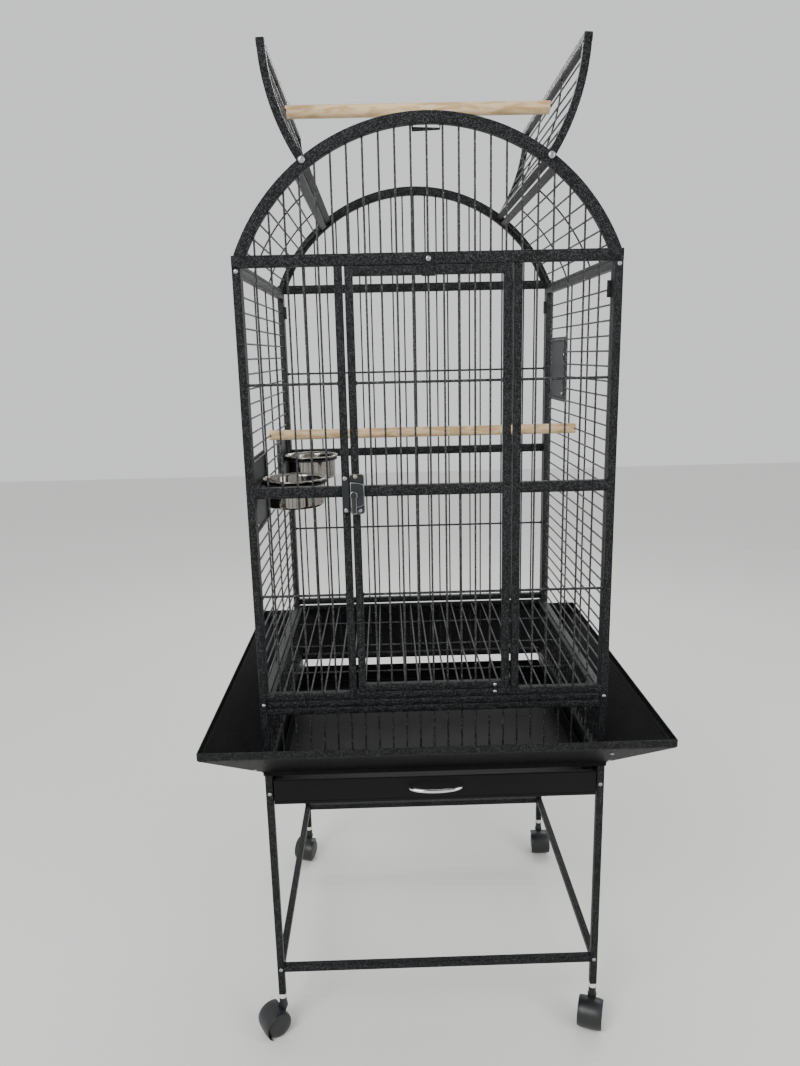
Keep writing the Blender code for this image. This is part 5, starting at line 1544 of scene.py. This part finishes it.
for label, word in FEEDER_DOORS.items():
    side = SIDES[word]
    low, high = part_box(f"feeder_door_{label}")
    axis_x, axis_y, _ = joint_place[f"feeder_{label}_swing"]
    sheet_x = axis_x + side * (bore + GAP + PLATE / 2)
    lip, foot = high.x if side > 0 else low.x, low.z + PLATE
    section = thickened(
        bent([(lip, foot), (sheet_x, foot), (sheet_x, high.z)], PLATE_BEND), PLATE
    )
    mesh = bmesh.new()
    loft(mesh, [in_plane(section, y) for y in (axis_y + PLATE_EDGE, high.y)])
    for step in (1, 3):
        height = wire_height(FEEDERS[word][1] + step) - SIDE_WIRE_PITCH / 2
        knuckle(mesh, sheet_x, axis_x, axis_y, height)
    made = piece(
        f"feeder_sheet_{label}", mesh, plate_paint, f"feeder_{label}", f"feeder_door_{label}"
    )
    slot_y, slot_top = axis_y + SLOT_INSET, high.z - SLOT_INSET
    for half_slot, start, end in SLOTS:
        cut_away(
            made, (sheet_x - PLATE, slot_y - half_slot, slot_top - end),
            (sheet_x + PLATE, slot_y + half_slot, slot_top - start),
        )
    for face_word, way, rise in (("outer", side, BOLT_OUTSIDE), ("inner", -side, BOLT_INSIDE)):
        screw(
            f"feeder_bolt_{face_word}_{label}",
            (sheet_x + way * PLATE / 2, slot_y, low.z + BOLT_RISE), (way, 0, 0), FEEDER_BOLT,
            zinc, f"feeder_{label}", rise,
        )
print("feeder doors made")

# %% [markdown]
# The bowls are spun from stainless steel: a straight wall, a round foot, a
# flared neck and a rolled rim. So the profile goes up the outside, round the
# rim's bead and down the inside, one wall thickness in.

# %% Bowls
BOWL_RADIUS, BOWL_WALL, BOWL_DRAFT = 0.0515, 0.0009, 0.0004
FOOT_ROUND, FOOT_STEPS = 0.006, 6
RIM_DROP = 0.006
BEAD = 0.0017
NECK_OUTSIDE = ((0.0, 0.001), (0.0012, -0.0012))
NECK_INSIDE = (0.0006, 0.0022)


def bowl_profile(rim, foot, top):
    """Half the bowl's section, from the middle of its foot out and back again."""
    wall = BOWL_RADIUS - BOWL_DRAFT
    corner = (wall - FOOT_ROUND, foot + FOOT_ROUND)
    turns = [math.radians(90 * step / FOOT_STEPS - 90) for step in range(1, FOOT_STEPS + 1)]
    made = [(0.0, foot), (corner[0], foot)]
    made += [polar(corner, FOOT_ROUND, turn) for turn in turns]
    made += [(BOWL_RADIUS + flare, top - RIM_DROP - drop) for flare, drop in NECK_OUTSIDE]
    bead_middle = (rim - BEAD, top - BEAD)
    made += [polar(bead_middle, BEAD, math.radians(turn)) for turn in range(-90, 121, 30)]
    made += [
        (BOWL_RADIUS + NECK_INSIDE[0], top - NECK_INSIDE[1]),
        (BOWL_RADIUS - BOWL_WALL, top - RIM_DROP),
    ]
    made += [polar(corner, FOOT_ROUND - BOWL_WALL, turn) for turn in turns[::-1]]
    return made + [(corner[0], foot + BOWL_WALL), (0.0, foot + BOWL_WALL)]


print("bowl", round(2000 * BOWL_RADIUS), "mm wide, its wall", round(1000 * BOWL_WALL, 1), "mm")

# %% [markdown]
# The bowls drop into round hoops welded to a flat bar, which stays on the cage.
# The hoop is a closed sweep, so it has no end faces.

# %% Bowls in their hoops
HOOP_WIRE, HOOP_STEPS = 0.0021, 64
RING_BAR_THICK, RING_BAR_HEIGHT, RING_BAR_ROUND = 0.003, 0.008, 0.0008
BOWL_SHARP = 50
for place_word in ENDS:
    label = f"left_{place_word}"
    low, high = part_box(f"feeder_bowl_{label}")
    middle = ((low.x + high.x) / 2, (low.y + high.y) / 2)
    rim = (high.y - low.y) / 2
    mesh = bmesh.new()
    turned(mesh, bowl_profile(rim, low.z, high.z), upright(*middle), sides=64)
    piece(
        f"steel_bowl_{label}", mesh, bowl_shaded_steel, f"bowl_{label}", f"feeder_bowl_{label}",
        BOWL_SHARP,
    )

    low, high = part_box(f"bowl_ring_{label}")
    hoop_radius = high.x - middle[0] - HOOP_WIRE
    turns = [2 * math.pi * step / HOOP_STEPS for step in range(HOOP_STEPS)]
    hoop = [(*polar(middle, hoop_radius, turn), high.z - HOOP_WIRE) for turn in turns]
    mesh = bmesh.new()
    sweep(mesh, hoop, circle(HOOP_WIRE, 12), (0, 0, 1), loop=True)
    bar_face = middle[0] - rim
    tube_in_box(
        mesh, (bar_face, low.y, high.z - RING_BAR_HEIGHT),
        (bar_face + RING_BAR_THICK, high.y, high.z), RING_BAR_ROUND,
    )
    piece(f"bowl_hoop_{label}", mesh, frame_paint, "cage", f"bowl_ring_{label}")
print("bowl rim", round(rim, 4))

# %% [markdown]
# Both perches are planed pine rods. The play perch's ends are cut away below, so
# it sits on a rod of each wing, and the inner one's ends are slotted for a wire.

# %% Perches
PERCH_SIDES = 32
PERCH_CHAMFER = 0.0006
PERCH_OVERLAP = 0.0005


def perch_rod(name, node_name, body):
    """A round rod in a node's box, with its ends' edges taken off a little."""
    low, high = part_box(node_name)
    radius, length = (high.z - low.z) / 2, high.x - low.x
    place = Matrix.Translation((low.x, (low.y + high.y) / 2, (low.z + high.z) / 2))
    mesh = bmesh.new()
    turned(mesh, [
        (0.0, 0.0), (radius - PERCH_CHAMFER, 0.0), (radius, PERCH_CHAMFER),
        (radius, length - PERCH_CHAMFER), (radius - PERCH_CHAMFER, length), (0.0, length),
    ], place @ Matrix.Rotation(math.radians(90), 4, "Y"), sides=PERCH_SIDES)
    return piece(name, mesh, pine, body, node_name), low, high


def cut_ends(made, low, high, reach, foot, top):
    """Cuts both ends of a perch, from a reach out, between two heights."""
    for side in SIDES.values():
        start, end = sorted((side * reach, side * (high.x + tube)))
        cut_away(made, (start, low.y - tube, foot), (end, high.y + tube, top))


made, low, high = perch_rod("play_perch_wood", "play_perch", "top_perch")
radius = (high.z - low.z) / 2
wing_rod_x = high.x + PERCH_OVERLAP
seat = high.z - radius + radius / 4
cut_ends(made, low, high, wing_rod_x - ROD - 3 * GAP, low.z - tube, seat)
made, low, high = perch_rod("inner_perch_wood", "inner_perch", "cage")
slot = ROD + 2 * GAP
centre_z = (low.z + high.z) / 2
cut_ends(made, low, high, half_width - tube / 2 - slot, centre_z - slot, centre_z + slot)
print("perches made")

# %% [markdown]
# Each caster has two domed wheels under one hood, whose neck turns in the leg's
# collar. It is built standing at the origin and then turned to its own direction,
# which the wheels' joint gives. The hood is a loft round the axle: a band that
# thins out at its two sides, with a web inside between the wheels.

# %% Caster hoods
HOOD_WIDTH, HOOD_INNER, HOOD_OUTER = 0.046, 0.0257, 0.0284
HOOD_START, HOOD_END = math.radians(-50), math.radians(115)
HOOD_STEPS, BAND_STEPS = 22, 12
CROWN, SIDE_ROUND, INNER_INSET = 0.0019, 0.0004, 0.0008
WEB, WEB_NECK, WEB_HUB = 0.011, (-0.007, 0.0509), 0.0095
NECK_WIDE, NECK, STEM = 0.0085, 0.007, 0.0045
NECK_FOOT, NECK_SHOULDER, NECK_TOP = 0.0495, 0.054, 0.0575


def hood_ring(middle, angle):
    """The hood's section: a band across both wheels that thins out at its two sides."""
    shares = [step * 2 / BAND_STEPS - 1 for step in range(BAND_STEPS + 1)]
    ring = [
        (HOOD_OUTER - CROWN * abs(share) ** 4,
         share * (HOOD_WIDTH / 2 - SIDE_ROUND * abs(share) ** 8)) for share in shares
    ]
    ring += [(HOOD_INNER, share * (HOOD_WIDTH / 2 - INNER_INSET)) for share in shares[::-1]]
    return [(*polar(middle, radius, angle), across) for radius, across in ring]


def caster_hood(mesh, to_world, trail, axle_z, stem_z):
    middle = (trail, axle_z)
    rings = []
    for step in range(HOOD_STEPS + 1):
        angle = HOOD_START + (HOOD_END - HOOD_START) * step / HOOD_STEPS
        rings.append([to_world @ Vector((x, y, z)) for x, z, y in hood_ring(middle, angle)])
    loft(mesh, rings)
    web = arc(middle, (HOOD_INNER + HOOD_OUTER) / 2, HOOD_START, HOOD_END, 12)
    web += [WEB_NECK, *arc(middle, WEB_HUB, math.pi, math.pi * 1.75, 6)]
    loft(mesh, [[to_world @ Vector((x, way * WEB / 2, z)) for x, z in web] for way in (-1, 1)])
    turned(mesh, [
        (0.0, NECK_FOOT), (NECK_WIDE, NECK_FOOT), (NECK_WIDE, NECK_SHOULDER), (NECK, NECK_TOP),
        (NECK, stem_z - GAP), (STEM, stem_z - GAP), (STEM, LEG_FOOT - GAP),
        (0.0, LEG_FOOT - GAP),
    ], to_world, sides=28)


print("hood", HOOD_WIDTH, "m wide")


# %% [markdown]
# A wheel is turned: flat inside, a narrow tread, and a domed outer face whose
# curve is fuller than a circle's. The pair shares one hub.

# %% Wheels, and the four casters
WHEEL_NEAR, WHEEL_FAR = 0.0061, 0.0209
WHEEL_EDGE, HUB = 0.0008, 0.004
DOME, DOME_STEPS, DOME_FULLNESS = 0.0072, 9, 0.55


def wheel_pair(mesh, to_world, trail, radius):
    tread = [
        (0.0, WHEEL_NEAR), (radius - WHEEL_EDGE, WHEEL_NEAR), (radius, WHEEL_NEAR + WHEEL_EDGE),
        (radius, WHEEL_FAR - DOME),
    ]
    for step in range(1, DOME_STEPS):
        turn = math.radians(90) * step / DOME_STEPS
        rise = WHEEL_FAR - DOME + DOME * math.sin(turn)
        tread.append((radius * math.cos(turn) ** DOME_FULLNESS, rise))
    tread.append((0.0, WHEEL_FAR))
    to_axle = to_world @ Matrix.Translation((trail, 0, radius))
    for way in (-90, 90):
        turned(mesh, tread, to_axle @ Matrix.Rotation(math.radians(way), 4, "X"))
    hub_ends = [to_axle @ Vector((0, way * WHEEL_NEAR, 0)) for way in (-1, 1)]
    rod(mesh, *hub_ends, HUB, sides=20)


for place_word in ENDS:
    for word in SIDES:
        corner = f"{place_word}_{word}"
        stem = Vector(joint_place[f"swivel_{corner}_turn"])
        axle = Vector(joint_place[f"wheels_{corner}_roll"])
        trail = Vector((axle.x - stem.x, axle.y - stem.y))
        lie = Matrix.Rotation(math.atan2(trail.y, trail.x), 4, "Z")
        to_world = upright(stem.x, stem.y) @ lie
        mesh = bmesh.new()
        caster_hood(mesh, to_world, trail.length, axle.z, stem.z)
        piece(
            f"caster_cover_{corner}", mesh, caster_plastic, f"swivel_{corner}",
            f"caster_hood_{corner}",
        )
        mesh = bmesh.new()
        wheel_pair(mesh, to_world, trail.length, axle.z)
        piece(
            f"wheel_pair_{corner}", mesh, caster_plastic, f"wheels_{corner}",
            f"caster_wheels_{corner}",
        )
print("casters made")

# %% [markdown]
# Bright bolts hold the cage to its stand and the side panels to the front and
# back. They are small zinc domes on the posts' front and back faces, and two
# more stand at the foot of the door's hinge.

# %% Frame bolts
FRAME_BOLT, HINGE_BOLT, BOLT_HEIGHT = 0.0036, 0.0034, 0.0022
BOLTS = ((0.2930, 0.1320), (0.2930, 0.4952), (0.2935, 0.6635), (0.2935, 1.3765))
HINGE_BOLT_X, BOLT_SHARE = 0.1045, 0.55
HINGE_BOLTS = ((sill, "cage"), (door_low, "door"))
for word, side in SIDES.items():
    for place_word, end in ENDS.items():
        for step, (x, z) in enumerate(BOLTS):
            screw(
                f"frame_bolt_{place_word}_{word}_{step + 1}", (side * x, end * half_depth, z),
                (0, end, 0), FRAME_BOLT, zinc, "cage", BOLT_HEIGHT,
            )
for step, (foot, body) in enumerate(HINGE_BOLTS):
    place = (HINGE_BOLT_X, front, foot + tube * BOLT_SHARE)
    screw(f"hinge_bolt_{step + 1}", place, (0, -1, 0), HINGE_BOLT, zinc, body, BOLT_HEIGHT)
print("frame bolts", 4 * len(BOLTS))

# %% [markdown]
# The cage stands on a plain pale floor in soft studio light: a large lamp in
# front and above on the left, a weaker one on the right, and a strip behind that
# draws thin highlights on the tubes. The world adds an even grey.

# %% Floor and light
HALF_FLOOR = 7.0
corners = [(x * HALF_FLOOR, y * HALF_FLOOR, 0) for x, y in ((-1, -1), (1, -1), (1, 1), (-1, 1))]
floor_mesh = bpy.data.meshes.new("floor")
floor_mesh.from_pydata(corners, [], [(0, 1, 2, 3)])
floor = bpy.data.objects.new("floor", floor_mesh)
bpy.context.scene.collection.objects.link(floor)
floor_finish, tree, shader = new_material("pale_floor")
feed(tree, shader, {"Base Color": (0.78, 0.77, 0.75, 1), "Roughness": 0.7})
floor.data.materials.append(floor_finish)

world = bpy.data.worlds.new("studio")
world.use_nodes = True
sky = world.node_tree.nodes["Background"]
feed(world.node_tree, sky, {"Color": (0.93, 0.94, 0.95, 1), "Strength": 0.95})
bpy.context.scene.world = world


def soft_lamp(name, place, target, size, power):
    lamp = bpy.data.lights.new(name, "AREA")
    lamp.shape = "RECTANGLE"
    lamp.size, lamp.size_y = size
    lamp.energy = power
    made = bpy.data.objects.new(name, lamp)
    aim = (Vector(target) - Vector(place)).to_track_quat("-Z", "Y")
    made.matrix_world = Matrix.Translation(place) @ aim.to_matrix().to_4x4()
    bpy.context.scene.collection.objects.link(made)


soft_lamp("key", (-1.6, -2.4, 2.7), (0, 0, 0.9), (1.6, 1.6), 75.0)
soft_lamp("fill", (2.4, -1.8, 1.8), (0, 0, 0.8), (1.4, 1.8), 28.0)
soft_lamp("back_strip", (0.6, 2.4, 2.6), (0, 0, 1.0), (2.4, 0.8), 35.0)
print("floor and lamps ready")
